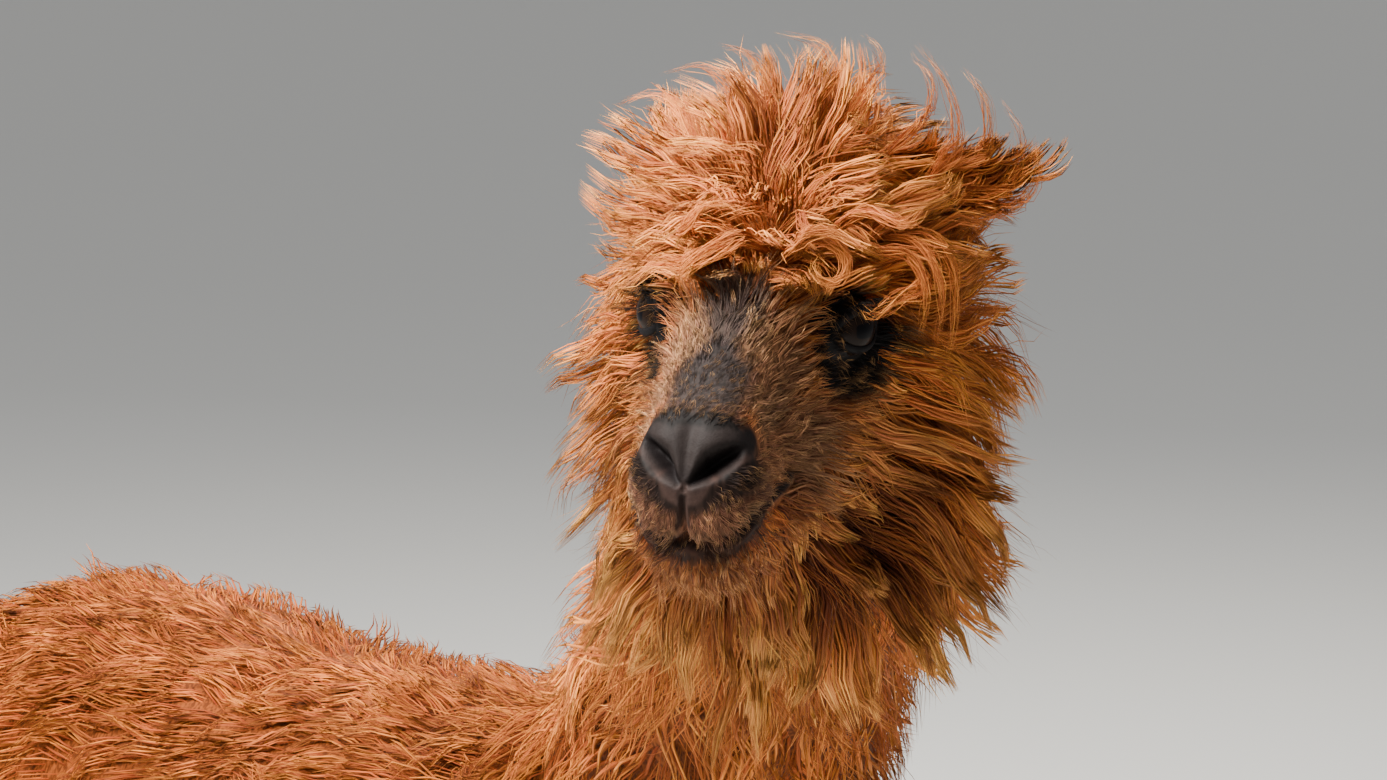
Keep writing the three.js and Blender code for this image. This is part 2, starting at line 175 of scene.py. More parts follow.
# Points in metres, normals and triangles of a mesh
def meshArrays(mesh):
    mesh.calc_loop_triangles()
    points = np.empty(len(mesh.vertices) * 3, np.float32)
    mesh.vertices.foreach_get("co", points)
    normals = np.empty(len(mesh.vertices) * 3, np.float32)
    mesh.vertices.foreach_get("normal", normals)
    triangles = np.empty(len(mesh.loop_triangles) * 3, np.int32)
    mesh.loop_triangles.foreach_get("vertices", triangles)
    return points.reshape(-1, 3), normals.reshape(-1, 3), triangles.reshape(-1, 3)


# Points in millimetres, normals and triangles of an object's finished mesh
def readMesh(source):
    depsgraph = bpy.context.evaluated_depsgraph_get()
    points, normals, triangles = meshArrays(source.evaluated_get(depsgraph).to_mesh())
    return points * 1000.0, normals, triangles


# A CAD node's points in millimetres, the doubles merged, and its triangles
def mergedNode(name):
    points, _, triangles = meshArrays(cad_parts[name].data)
    points, inverse = np.unique(np.round(points, 6), axis=0, return_inverse=True)
    return points * 1000.0, inverse.ravel()[triangles]


# Triangles between neighbouring rings of a closed tube whose points run ring by ring
def gridTriangles(rings, sides):
    i, j = np.meshgrid(np.arange(rings - 1), np.arange(sides), indexing="ij")
    a, b = i * sides + j, i * sides + (j + 1) % sides
    c, d = a + sides, b + sides
    return np.concatenate([np.stack([a, b, d], -1), np.stack([a, d, c], -1)], 1).reshape(-1, 3)


# The triangles of a closed body, all turned over if its volume comes out negative
def facedOut(points, triangles):
    a, b, c = points[triangles[:, 0]], points[triangles[:, 1]], points[triangles[:, 2]]
    return triangles[:, ::-1] if np.einsum("ij,ij->", a, np.cross(b, c)) < 0 else triangles


# Points and triangles of a closed body: a grid of rings, with a point at each end
def closeTube(grid, start, end):
    rings, sides = grid.shape[:2]
    points = np.concatenate([grid.reshape(-1, 3), [start, end]])
    j = np.arange(sides)
    k = (j + 1) % sides
    last = (rings - 1) * sides
    caps = [np.stack([np.full(sides, rings * sides), k, j], -1),
            np.stack([np.full(sides, rings * sides + 1), last + j, last + k], -1)]
    return points, facedOut(points, np.concatenate([gridTriangles(rings, sides), *caps]))


# A smooth function through rows of [position, value, ...] that doesn't overshoot: cubic pieces whose slopes
# are the harmonic mean of the slopes of their neighbours.
def profile(rows, at):
    rows = np.asarray(rows, float)
    x, values = rows[:, 0], rows[:, 1:]
    step = np.diff(values, axis=0) / np.diff(x)[:, None]
    before, after = step[:-1], step[1:]
    total = np.where(before * after > 0, before + after, 1)
    inner = np.where(before * after > 0, 2 * before * after / total, 0)
    slope = np.concatenate([step[:1], inner, step[-1:]])
    at = np.clip(at, x[0], x[-1])
    i = np.clip(np.searchsorted(x, at, side="right") - 1, 0, len(x) - 2)
    width = (x[i + 1] - x[i])[..., None]
    t = (at - x[i])[..., None] / width
    bend = width * t * (1 - t) * ((1 - t) * slope[i] - t * slope[i + 1])
    return values[i] + t * t * (3 - 2 * t) * (values[i + 1] - values[i]) + bend


# How full a section is at a distance from a rounded end: a quarter circle of that depth
def roundEnd(distance, depth):
    share = np.clip(np.asarray(distance, float) / depth, 0, 1)
    return np.sqrt(np.clip(1 - (1 - share) ** 2, 0, None))


# Places between start and end, closer together near both
def stations(start, end, count):
    share = np.arange(1, count + 1) / (count + 1)
    return start + (end - start) * (0.5 * share + 0.25 - 0.25 * np.cos(np.pi * share))


# Rings round centres: right * cos^f * half width + up * sin^f * (above or below)
def sections(centre, right, up, halfWidth, above, below, sides, fullness=1.0):
    angle = 2 * np.pi * np.arange(sides) / sides
    c, s = np.cos(angle), np.sin(angle)
    across = np.sign(c) * np.abs(c) ** fullness * halfWidth[:, None]
    upward = np.sign(s) * np.abs(s) ** fullness * np.where(s > 0, above[:, None], below[:, None])
    return centre[:, None] + right[:, None] * across[..., None] + up[:, None] * upward[..., None]


# A Catmull-Rom curve through the controls, and its unit tangents. The places are shares of the curve,
# with the same share for each stretch between two controls.
def curve(controls, at):
    controls = np.asarray(controls, float)
    ends = np.concatenate([[2 * controls[0] - controls[1]], controls, [2 * controls[-1] - controls[-2]]])
    span = np.clip(np.asarray(at), 0, 1) * (len(controls) - 1)
    i = np.clip(span.astype(int), 0, len(controls) - 2)
    t = (span - i)[:, None]
    a, b, c, d = ends[i], ends[i + 1], ends[i + 2], ends[i + 3]
    first, second, third = c - a, 2 * a - 5 * b + 4 * c - d, 3 * b - a - 3 * c + d
    point = 0.5 * (2 * b + first * t + second * t**2 + third * t**3)
    tangent = 0.5 * (first + 2 * second * t + 3 * third * t**2)
    return point, unit(tangent)


# The skin: body

trunkSkin = {  # x, half width, top, bottom, height of the widest line
    "rows": [[-662, 118, 815, 560, 700], [-600, 150, 852, 508, 680], [-500, 167, 867, 470, 660],
             [-420, 173, 867, 454, 650], [-340, 175, 862, 440, 645], [-260, 175, 847, 430, 640],
             [-140, 173, 842, 430, 640], [-40, 169, 845, 438, 640], [60, 154, 843, 460, 650],
             [150, 128, 826, 502, 665], [188, 102, 785, 552, 675]],
    "rump": [-662, 0, 700], "rumpRound": 90, "chest": [188, 0, 675], "chestRound": 100,
    "fullness": 0.93, "rings": 60, "sides": 64,
}
legSkin = {  # z, x, y, half length, half width
    "fore": [[40, 20, 112, 24, 20], [92, 10, 112, 28, 25], [150, 6, 112, 24, 22], [230, 8, 113, 27, 24],
             [305, 14, 114, 35, 31], [390, 6, 116, 47, 39], [480, 2, 116, 68, 47], [600, 18, 110, 88, 50],
             [700, 30, 98, 84, 48]],
    "hind": [[40, -535, 116, 24, 20], [92, -547, 116, 28, 25], [160, -559, 116, 24, 22],
             [260, -575, 117, 29, 25], [345, -579, 118, 40, 30], [410, -557, 119, 56, 38],
             [490, -527, 117, 90, 50], [600, -523, 108, 116, 58], [700, -531, 96, 106, 56]],
}
neckSkin = {  # share of the length, half width, towards the nape, towards the throat
    "rows": [[0, 124, 112, 140], [0.2, 116, 96, 126], [0.4, 101, 82, 104], [0.6, 90, 72, 88],
             [0.8, 80, 66, 78], [1, 60, 52, 58]],
    "controls": [[10, 0, 680], [130, -4, 770], [250, -58, 892], [362, -138, 1030]],
    "controlsInHead": [[-135, 0, -120], [-98, 0, -10]], "rings": 60, "sides": 56,
}
tailSkin = {  # share of the length, half width, half thickness
    "rows": [[0, 22, 18], [0.3, 20, 16], [0.7, 15, 12], [1, 9, 8]],
    "controls": [[-620, 0, 800], [-680, 0, 788], [-716, 0, 732], [-724, 0, 662], [-714, 0, 600]],
    "rings": 30, "sides": 24,
}
skinGrain = {"voxel": 8.2, "smoothing": 6, "fuller": 12, "fullerFrom": (440, 600),
             "withers": 14, "withersAt": 70, "withersLong": 120, "withersFrom": (740, 830)}
footSkinSetup = {"voxel": 3.4, "smoothing": 4, "coat": 2.2, "coatFrom": (0, 6), "lower": 1.2, "lowest": 0.2,
                 "narrower": 0.42, "narrowFrom": (34, 52), "pastern": (22, 22, 20), "pasternTop": 150}
ahead, leftward, upward = np.eye(3)[:, None]


# Rings across x: half widths and heights from the rows, rounded at the rump and at the chest
def trunkGrid(setup):
    rump, chest = setup["rump"][0], setup["chest"][0]
    x = stations(rump, chest, setup["rings"])
    halfWidth, top, bottom, widest = profile(setup["rows"], x).T
    full = np.minimum(roundEnd(x - rump, setup["rumpRound"]), roundEnd(chest - x, setup["chestRound"]))
    grid = sections(np.stack([x, 0 * x, widest], -1), leftward, upward, halfWidth * full,
                    (top - widest) * full, (widest - bottom) * full, setup["sides"], setup["fullness"])
    return closeTube(grid, setup["rump"], setup["chest"])


# Level rings: half lengths along x and half widths along y from the rows, up to highest
def legGrid(rows, side, highest=None):
    z = stations(rows[0][0], highest or rows[-1][0], 40)
    x, y, halfLength, halfWidth = profile(rows, z).T
    centre = np.stack([x, side * y, z], -1)
    grid = sections(centre, ahead, leftward, halfLength, halfWidth, halfWidth, 36)
    return closeTube(grid, centre[0] - [0, 0, 2], centre[-1] + [0, 0, 2])


# Centres, sideways, nape and tangent directions along the neck. Sideways turns from the body's left to the
# head's left with the share of the length.
def neckFrames(setup, at):
    inHead = np.array(setup["controlsInHead"]) @ headTurn.T + eyeMidpointInBody
    centre, along = curve(np.concatenate([setup["controls"], inHead]), at)
    turned = np.radians(headPose["yaw"]) * smooth(at, 0.15, 1)
    left = np.stack([-np.sin(turned), np.cos(turned), 0 * turned], -1)
    up = unit(np.cross(along, left))
    return centre, np.cross(up, along), up, along


# Rings across the neck's curve: half width, nape and throat from the rows, rounded inside the head
def neckGrid(setup):
    at = stations(0, 1, setup["rings"])
    centre, right, up, _ = neckFrames(setup, at)
    halfWidth, nape, throat = profile(setup["rows"], at).T * roundEnd(1 - at, 0.12)
    grid = sections(centre, right, up, halfWidth, nape, throat, setup["sides"])
    return closeTube(grid, centre[0], centre[-1])


# Rings across the tail's curve: half width and half thickness from the rows, rounded at the tip
def tailGrid(setup):
    at = stations(0, 1, setup["rings"])
    centre, along = curve(setup["controls"], at)
    halfWidth, thickness = profile(setup["rows"], at).T * roundEnd(1 - at, 0.2)
    up = np.cross(along, leftward)
    grid = sections(centre, leftward, up, halfWidth, thickness, thickness, setup["sides"])
    return closeTube(grid, centre[0], centre[-1])


# One object from several [points, triangles], in millimetres
def joined(name, bodies):
    first = np.cumsum([0] + [len(points) for points, _ in bodies])
    return makeMesh(name, np.concatenate([points for points, _ in bodies]),
                    np.concatenate([triangles + start for (_, triangles), start in zip(bodies, first)]))


# A new object of source's finished mesh, which takes source's place
def applied(source, name):
    mesh = bpy.data.meshes.new_from_object(source.evaluated_get(bpy.context.evaluated_depsgraph_get()))
    mesh.name = name
    bpy.data.objects.remove(source)
    made = bpy.data.objects.new(name, mesh)
    bpy.context.scene.collection.objects.link(made)
    return made


# The bodies in source as one surface with soft joins
def blendedTogether(source, voxel, smoothing):
    remesh = source.modifiers.new("one", "REMESH")
    remesh.mode, remesh.voxel_size, remesh.use_smooth_shade = "VOXEL", voxel / 1000, True
    soften = source.modifiers.new("soften", "SMOOTH")
    soften.factor, soften.iterations = 0.6, smoothing
    return applied(source, source.name)


# The CAD foot's toes, drawn in by the short coat, and the pastern above them, as one
def footSkin(name, leg, side, setup):
    points, triangles = mergedNode(name)
    axis = np.array([leg[0][1], side * leg[0][2]]) + bodyPlace[:2]
    drawnIn = 1 - setup["narrower"] * smooth(points[:, 2:], *setup["narrowFrom"])
    points[:, :2] = axis + (points[:, :2] - axis) * drawnIn
    height, halfLength, halfWidth = setup["pastern"]
    pasternRows = [[height, leg[0][1], leg[0][2], halfLength, halfWidth]] + leg[1:4]
    pastern, walls = legGrid(pasternRows, side, setup["pasternTop"])
    foot = joined(name + "_skin", [(points, triangles), (pastern + bodyPlace, walls)])
    foot = blendedTogether(foot, setup["voxel"], setup["smoothing"])
    points, normals, triangles = readMesh(foot)
    points = points - normals * [1, 1, 0.6] * setup["coat"] * smooth(points[:, 2:], *setup["coatFrom"])
    points[:, 2] = np.maximum(points[:, 2] - setup["lower"], setup["lowest"])
    bpy.data.objects.remove(foot)
    return makeMesh(name + "_skin", points, triangles)


# The union of base and others, as one closed surface
def addTo(base, *others):
    for other in others:
        union = base.modifiers.new("union", "BOOLEAN")
        union.operation, union.solver, union.object = "UNION", "MANIFOLD", other
        base = applied(base, base.name)
        bpy.data.objects.remove(other)
    return base


# Trunk, neck, tail and legs as one surface, raised along its normals above the belly, and over the withers
# by a bell curve of the place along the back
def bodySkin(setup):
    parts = [trunkGrid(trunkSkin), neckGrid(neckSkin), tailGrid(tailSkin)]
    parts += [legGrid(rows, side) for rows in legSkin.values() for side in (1, -1)]
    rough = joined("skin", [(points + bodyPlace, triangles) for points, triangles in parts])
    rough = blendedTogether(rough, setup["voxel"], setup["smoothing"])
    points, normals, triangles = readMesh(rough)
    bpy.data.objects.remove(rough)
    x, z = (points - bodyPlace)[:, :1], (points - bodyPlace)[:, 2:]
    withers = np.exp(-((x - setup["withersAt"]) / setup["withersLong"]) ** 2)
    withers = withers * smooth(z, *setup["withersFrom"])
    raised = setup["fuller"] * smooth(z, *setup["fullerFrom"]) + setup["withers"] * withers
    return makeMesh("skin", points + normals * raised, triangles)


body = bodySkin(skinGrain)
feet = [footSkin(f"{kind}leg_{word}_foot", legSkin[kind], side, footSkinSetup)
        for kind in ("fore", "hind") for word, side in (("left", 1), ("right", -1))]
print("body skin", len(body.data.polygons), "triangles, feet", [len(foot.data.polygons) for foot in feet])

# The skin: head, in the head's frame with x out along the nose

headSkin = {  # x, half width, height of the widest line, top, bottom
    "rows": [[-176, 84, -44, 62, -150], [-150, 84, -44, 84, -168], [-110, 86, -44, 94, -180],
             [-75, 84, -46, 90, -182], [-42, 72, -48, 68, -172], [-12, 57, -50, 48, -146],
             [12, 50, -54, 38, -134], [35, 46, -60, 24, -127], [60, 41.5, -67, 6, -123],
             [90, 37, -72, -11, -122], [118, 35, -72, -25, -117], [139, 31, -66, -34, -104]],
    "nape": -176, "napeRound": 50, "nose": 139, "noseRound": 27, "fullness": 0.9, "sides": 220,
    "ends": ([-176, 0, -44], [138.2, 0, -66]),
    "stretches": [(-172, -48, 28), (-44, 36, 62), (37.6, 70, 21), (71, 110, 38)],  # from, to, rings
}
# A feature is a line of points on the left half, with its depth (in is negative) and its half width at
# each.
nostril = {
    "line": [[137.4, 4.0, -60], [133.5, 9.5, -55.5], [130, 15, -51], [126, 20.5, -47.5], [121, 25.5, -44.5],
             [117.5, 28, -43]],
    "depth": [-4, -12, -16, -14, -9, -1],
    "width": [2.6, 4.8, 6.2, 5.2, 3.6, 1.8],
}
mouth = {
    "line": [[133, 0, -95.5], [131, 6, -98], [129.3, 12, -98.3], [126.5, 21, -95.3], [122.5, 28, -90],
             [116.5, 33, -84.5], [107, 35.5, -80], [90, 37, -78.5], [75, 39.5, -76], [66, 41, -74]],
    "depth": [-7, -8, -8, -8, -7.5, -7, -6, -4.5, -3, 0],
    "width": [3, 3.2, 3.4, 3.4, 3.2, 3, 2.8, 2.4, 2, 1.6],
}
philtrum = {"line": [[139, 0, -61], [138.6, 0, -72], [137, 0, -82], [133, 0, -94]],
            "depth": [-2.2, -3.2, -3.6, -4.4], "width": [1.8, 1.8, 2.0, 2.6]}
padGroove = {"line": [[116, 0, -27], [126, 0, -32], [134, 0, -42], [138.5, 0, -56]],
             "depth": [0, -1.6, -2.0, -1.6], "width": [6, 5, 4, 3]}
mounds = [  # centre, radius, height: soft swellings and hollows, alike on both sides
    ([127, 15, -36], 13, 3.0),  # wing of the nostril
    ([122, 27, -58], 10, 1.8),  # behind the nostril
    ([131, 15, -83], 13, 3.6),  # lobe of the upper lip
    ([112, 33, -72], 13, 2.4),  # side of the upper lip
    ([121, 0, -111], 15, 2.2),  # chin
    ([127, 13, -105], 9, -4.0),  # lower lip, set back
    ([102, 0, -20], 15, -1.8),  # dip behind the nose pad
    ([62, 40, -28], 18, -3.5),  # hollow in front of the eye
    ([20, 47, -40], 16, 2.0),  # cheekbone
    ([96, 36, -50], 12, -1.2),  # behind the upper lip
]
eyeSocket = {"opening": 15.6, "tall": 1.36, "moundHeight": 12.0, "moundWidth": 15.0, "blend": 1.25,
             "crease": -1.6, "creaseAt": 22.0, "creaseWidth": 2.4, "behindLids": 3, "halfLength": 62.0,
             "upper": 41.0, "lower": 36.0, "lidThick": (2.5, 2.0), "lidOut": 0.9, "around": 72, "sides": 12}


# Rings about the head's long axis, rounded at the nose and the nape
def headBase(setup, x, angle):
    halfWidth, widest, top, bottom = np.moveaxis(profile(setup["rows"], x), -1, 0)
    full = np.minimum(roundEnd(x - setup["nape"], setup["napeRound"]),
                      roundEnd(setup["nose"] - x, setup["noseRound"]))
    c, s = np.cos(angle), np.sin(angle)
    y = np.sign(c) * np.abs(c) ** setup["fullness"] * halfWidth * full
    rise = np.where(s > 0, top - widest, widest - bottom) * full
    return np.stack([x, y, widest + np.sign(s) * np.abs(s) ** setup["fullness"] * rise], -1)


# Unit normals of a closed grid of rings, turned away from a line of inside points
def gridNormals(grid, inside):
    around = np.roll(grid, -1, 1) - np.roll(grid, 1, 1)
    along = np.gradient(grid, axis=0)
    normal = unit(np.cross(along, around))
    return normal * np.sign(np.sum(normal * (grid - inside), -1, keepdims=True))


# Distance from each point to a line of points, and the share of the line's points where it is nearest
def alongLine(points, line):
    line = np.asarray(line, float)
    best, place = np.full(points.shape[:-1], 1e9), np.zeros(points.shape[:-1])
    for i, (a, b) in enumerate(zip(line[:-1], line[1:])):
        t = np.clip(((points - a) @ (b - a)) / np.dot(b - a, b - a), 0, 1)
        distance = np.linalg.norm(points - a - t[..., None] * (b - a), axis=-1)
        place = np.where(distance < best, i + t, place)
        best = np.minimum(best, distance)
    return best, place


# The points in the head's frame, with those on the right mirrored to the left
def onLeft(points):
    return points * [1, 0, 1] + np.abs(points) * [0, 1, 0]


# A trench along the feature's line: its depth times a bell curve of the distance over its width
def featureDepth(points, feature):
    distance, place = alongLine(onLeft(points), feature["line"])
    index = np.arange(len(feature["line"]))
    width = np.interp(place, index, feature["width"])
    return np.interp(place, index, feature["depth"]) * np.exp(-np.abs(distance / width) ** 2.6)


# The sum of the mounds: each is its height times a bell curve of the distance over its radius
def moundHeight(points):
    left, height = onLeft(points), 0
    for centre, radius, rise in mounds:
        height = height + rise * np.exp(-np.sum((left - centre) ** 2, -1) / radius**2)
    return height


# The eye's centre and its outward, forward and upward directions, for side 1 (left) or -1
def eyeFrame(side):
    out = unit(np.array(eye["axis"]) * [1, side, 1])
    forward = unit(np.array([1.0, 0, 0]) - out[0] * out)
    return np.array(eye["centre"]) * [1, side, 1], out, forward, np.array([0, 0, 1.0]) - out[2] * out


# Raises the skin into a mound that meets the lids, with a crease above them, and keeps it just inside the
# eyeball where the lids are open. Distances are measured round the eye's outward axis.
def withSocket(points, side):
    setup = eyeSocket
    centre, out, forward, up = eyeFrame(side)
    offset = points - centre
    depth, f, u = offset @ out, offset @ forward, offset @ up
    distance = np.hypot(f, u * setup["tall"])
    past = np.maximum(distance - setup["opening"], 0)
    near = (points[..., 1] * side > 20) * smooth(depth, -26, -10)
    mound = setup["moundHeight"] * np.exp(-(past / setup["moundWidth"]) ** 2)
    crease = np.exp(-((distance - setup["creaseAt"]) / setup["creaseWidth"]) ** 2) * smooth(u, -4, 10)
    mound = mound + setup["crease"] * crease
    share = np.exp(-(past / (setup["moundWidth"] * setup["blend"])) ** 2)
    target = depth + share * (mound - depth)
    inner = np.sqrt(np.maximum((eye["radius"] - setup["behindLids"]) ** 2 - distance**2, 0))
    target = np.where(distance < setup["opening"], np.minimum(target, inner), target)
    return points + out * (near * (target - depth))[..., None]


# The head's rings, closest at the nose, round the eyes and along the mouth, pushed along their normals by
# the features and the mounds, then raised round the eyes
def headGrid(setup):
    noseTurn, napeTurn = np.radians(np.linspace(3, 86, 34)), np.radians([12, 25, 38])
    nose = setup["nose"] - setup["noseRound"] * (1 - np.cos(noseTurn))
    x = np.concatenate([np.linspace(*stretch) for stretch in setup["stretches"]] + [nose[::-1]])
    nape = setup["nape"] + setup["napeRound"] * (1 - np.cos(napeTurn))
    x = np.concatenate([nape, x[x > nape[-1]]])
    angle = 2 * np.pi * (np.arange(setup["sides"]) + 0.5) / setup["sides"]
    grid = headBase(setup, *np.meshgrid(x, angle, indexing="ij"))
    inside = np.stack([x, 0 * x, 0 * x - 50], -1)[:, None]
    inside = inside + np.clip(x[:, None, None] - 110, 0, None) * [-1.2, 0, 0]
    normals = gridNormals(grid, inside)
    shift = featureDepth(grid, mouth) + featureDepth(grid, philtrum) + featureDepth(grid, padGroove)
    shift = shift + np.minimum(featureDepth(grid, nostril), 0) + moundHeight(grid)
    grid = grid + normals * shift[..., None]
    for side in (1, -1):
        grid = withSocket(grid, side)
    return closeTube(grid, *setup["ends"])


# A soft rim on the eyeball round its opening: an almond as long and high as the opening's angles, thickest
# above, with a round section carried along it
def lidGrid(side):
    setup = eyeSocket
    centre, out, forward, up = eyeFrame(side)
    turn = 2 * np.pi * np.arange(setup["around"]) / setup["around"]
    across = np.radians(setup["halfLength"]) * np.cos(turn)
    rise = np.sin(turn) * np.abs(np.sin(turn)) ** 0.25
    high = np.radians(np.where(rise > 0, setup["upper"], setup["lower"])) * rise
    spoke = np.cos(high)[:, None] * (np.cos(across)[:, None] * out + np.sin(across)[:, None] * forward)
    spoke = spoke + np.sin(high)[:, None] * up
    path = centre + spoke * (eye["radius"] + setup["lidOut"])
    thick = np.where(rise > 0, *setup["lidThick"])[:, None] * (0.72 + 0.28 * np.abs(np.sin(turn)))[:, None]
    thick = (thick + np.roll(thick, 1, 0) + np.roll(thick, -1, 0)) / 3
    along = unit(np.roll(path, -1, 0) - np.roll(path, 1, 0))
    away = np.cross(along, spoke)
    ring = 2 * np.pi * np.arange(setup["sides"]) / setup["sides"]
    grid = path[:, None] + thick[:, None] * (np.cos(ring)[None, :, None] * spoke[:, None]
                                             + np.sin(ring)[None, :, None] * away[:, None] * 1.35)
    points = grid.reshape(-1, 3)
    return points, facedOut(points, gridTriangles(setup["around"] + 1, setup["sides"]) % len(points))


ear = {  # base, direction and roll about its own length, in the head's frame
    "left": ([-88, 38, 72], (-0.12, 1, 0.06), 100),
    "right": ([-92, -40, 72], (-0.82, -0.62, 0.16), -80),
    "rows": [[0, 12, 5], [0.3, 20, 3.4], [0.6, 17, 2.6], [0.85, 10, 2.2], [1, 4, 2]],
    "length": 104, "cup": 13, "rings": 44, "sides": 40,
}


# The ear's base, and the turn from its own frame, x out along it, to the head's
def earFrame(word):
    base, direction, roll = ear[word]
    turn = Vector((1, 0, 0)).rotation_difference(Vector(direction)).to_matrix()
    return np.array(base, float), np.array(turn @ Matrix.Rotation(math.radians(roll), 3, "X"))


# A cupped leaf: each ring is a thin ellipse whose edges are bent up by the square of the distance across
def earGrid(word):
    base, turn = earFrame(word)
    at = stations(0, 1, ear["rings"])
    halfWidth, thickness = profile(ear["rows"], at).T * roundEnd(1 - at, 0.3)
    angle = 2 * np.pi * np.arange(ear["sides"]) / ear["sides"]
    across = np.cos(angle) * halfWidth[:, None]
    bent = ear["cup"] * (np.cos(angle) ** 2) * np.sin(np.pi * at**0.8)[:, None]
    lift = np.sin(angle) * thickness[:, None] + bent
    grid = np.stack([np.broadcast_to(at[:, None] * ear["length"], across.shape), across, lift], -1)
    points, triangles = closeTube(grid, [-1, 0, 0], [ear["length"], 0, 0])
    return points @ turn.T + base, triangles


def inModel(shape):
    return headToModel(shape[0]), shape[1]


head = joined("head_skin", [inModel(headGrid(headSkin))])
lids = [joined("lid", [inModel(lidGrid(side))]) for side in (1, -1)]
ears = [joined("ear_skin", [inModel(earGrid(word))]) for word in ("left", "right")]
skin = addTo(body, head, *lids, *ears, *feet)
skin.name = "skin"
print("skin joined:", len(skin.data.polygons), "faces")

# Coat: how the hair lies and how long it is, given at places on the left side and repeated on the right.
# Each entry is place, direction at the root, direction at the tip, length.

headLie = [
    ([112, 0, -22], [-1, 0, 0.35], [-1, 0, 0.1], 5),
    ([95, 12, -12], [-1, 0.1, 0.4], [-1, 0.1, 0.1], 6),
    ([75, 10, 0], [-0.9, 0.15, 0.5], [-1, 0.3, 0.2], 9),
    ([55, 14, 12], [-0.8, 0.25, 0.6], [-0.9, 0.5, 0.3], 12),
    ([42, 18, 20], [-0.5, 0.3, 0.8], [-0.2, 0.6, 0.7], 17),
    ([132, 14, -80], [0.1, 0.3, -0.9], [-0.3, 0.5, -0.8], 5),
    ([128, 20, -92], [0, 0.5, -0.8], [-0.2, 0.4, -1], 7),
    ([118, 31, -66], [-0.8, 0.5, -0.4], [-1, 0.3, -0.3], 6),
    ([100, 36, -60], [-0.9, 0.4, 0], [-1, 0.2, -0.2], 8),
    ([100, 37, -88], [-0.7, 0.4, -0.6], [-1, 0.1, -0.5], 13),
    ([80, 36, -35], [-0.9, 0.5, 0.2], [-1, 0.3, 0], 10),
    ([62, 42, -60], [-0.8, 0.6, -0.1], [-1, 0.3, -0.3], 15),
    ([60, 43, -90], [-0.7, 0.6, -0.5], [-0.8, 0.3, -0.7], 22),
    ([36, 42, -28], [-0.8, 0.6, 0.1], [-1, 0.3, -0.2], 11),
    ([30, 48, -70], [-0.8, 0.7, -0.3], [-0.9, 0.4, -0.5], 24),
    ([25, 46, -105], [-0.6, 0.6, -0.7], [-0.6, 0.3, -0.9], 40),
    ([16, 47, -8], [-0.5, 0.8, 0.2], [-0.9, 0.4, -0.2], 7),
    ([10, 52, -38], [-0.7, 0.8, -0.1], [-0.9, 0.5, -0.3], 15),
    ([28, 18, 30], [0.4, 0.3, 0.8], [0.8, 0.3, -0.5], 34),
    ([-8, 60, -26], [-0.4, 0.9, -0.5], [-0.6, 0.7, -0.5], 8),
    ([-10, 58, 28], [0.2, 0.9, 0.4], [0.3, 0.7, -0.7], 34),
    ([-28, 66, 0], [-0.7, 0.8, 0], [-0.6, 0.7, -0.5], 20),
    ([-20, 64, -70], [-0.6, 0.8, -0.6], [-0.4, 0.6, -1.0], 58),
    ([-50, 76, -20], [-0.3, 1, -0.35], [-0.2, 0.65, -0.95], 70),
    ([-60, 82, -80], [-0.3, 0.9, -0.6], [-0.2, 0.42, -1.1], 88),
    ([110, 10, -119], [-0.3, 0.3, -0.9], [-0.6, 0.1, -0.9], 12),
    ([90, 20, -122], [-0.4, 0.4, -0.9], [-0.5, 0.1, -1], 26),
    ([60, 20, -124], [-0.2, 0.3, -1], [-0.1, 0.1, -1], 55),
    ([25, 0, -130], [0.1, 0, -1], [0, 0, -1], 86),
    ([0, 40, -135], [0.1, 0.75, -0.7], [0, 0.45, -1], 92),
    ([-45, 60, -150], [0, 0.95, -0.4], [0, 0.5, -0.9], 100),
    ([-40, 0, -172], [0.3, 0, -1], [0, 0, -1], 88),
    ([-100, 60, -150], [-0.3, 0.6, -0.6], [-0.2, 0.3, -1], 80),
    ([14, 12, 40], [0.6, 0.4, 0.6], [0.6, 0.6, -0.6], 46),
    ([8, 34, 36], [0.4, 0.7, 0.5], [0.6, 0.6, -0.7], 46),
    ([-12, 14, 50], [0.5, 0.5, 0.7], [0.5, 0.8, -0.4], 66),
    ([-30, 34, 62], [0.3, 0.5, 0.8], [0.6, 0.7, -0.4], 66),
    ([-50, 14, 84], [0.2, 0.3, 0.9], [0.2, 0.75, 0.6], 68),
    ([-85, 20, 92], [0.0, 0.2, 1], [0.1, 0.3, 0.8], 56),
    ([-62, 56, 66], [-0.1, 0.8, 0.8], [0, 1, 0.4], 74),
    ([-45, 70, 32], [-0.1, 1, 0.4], [0, 0.9, -0.5], 70),
    ([-110, 70, 50], [-0.4, 0.8, 0.5], [-0.4, 0.8, -0.25], 72),
    ([-110, 84, -40], [-0.4, 0.95, -0.35], [-0.3, 0.5, -0.95], 82),
    ([-150, 30, 70], [-0.8, 0.3, 0.5], [-0.8, 0.3, -0.4], 66),
    ([-165, 50, -20], [-0.9, 0.4, 0], [-0.7, 0.3, -0.7], 66),
]
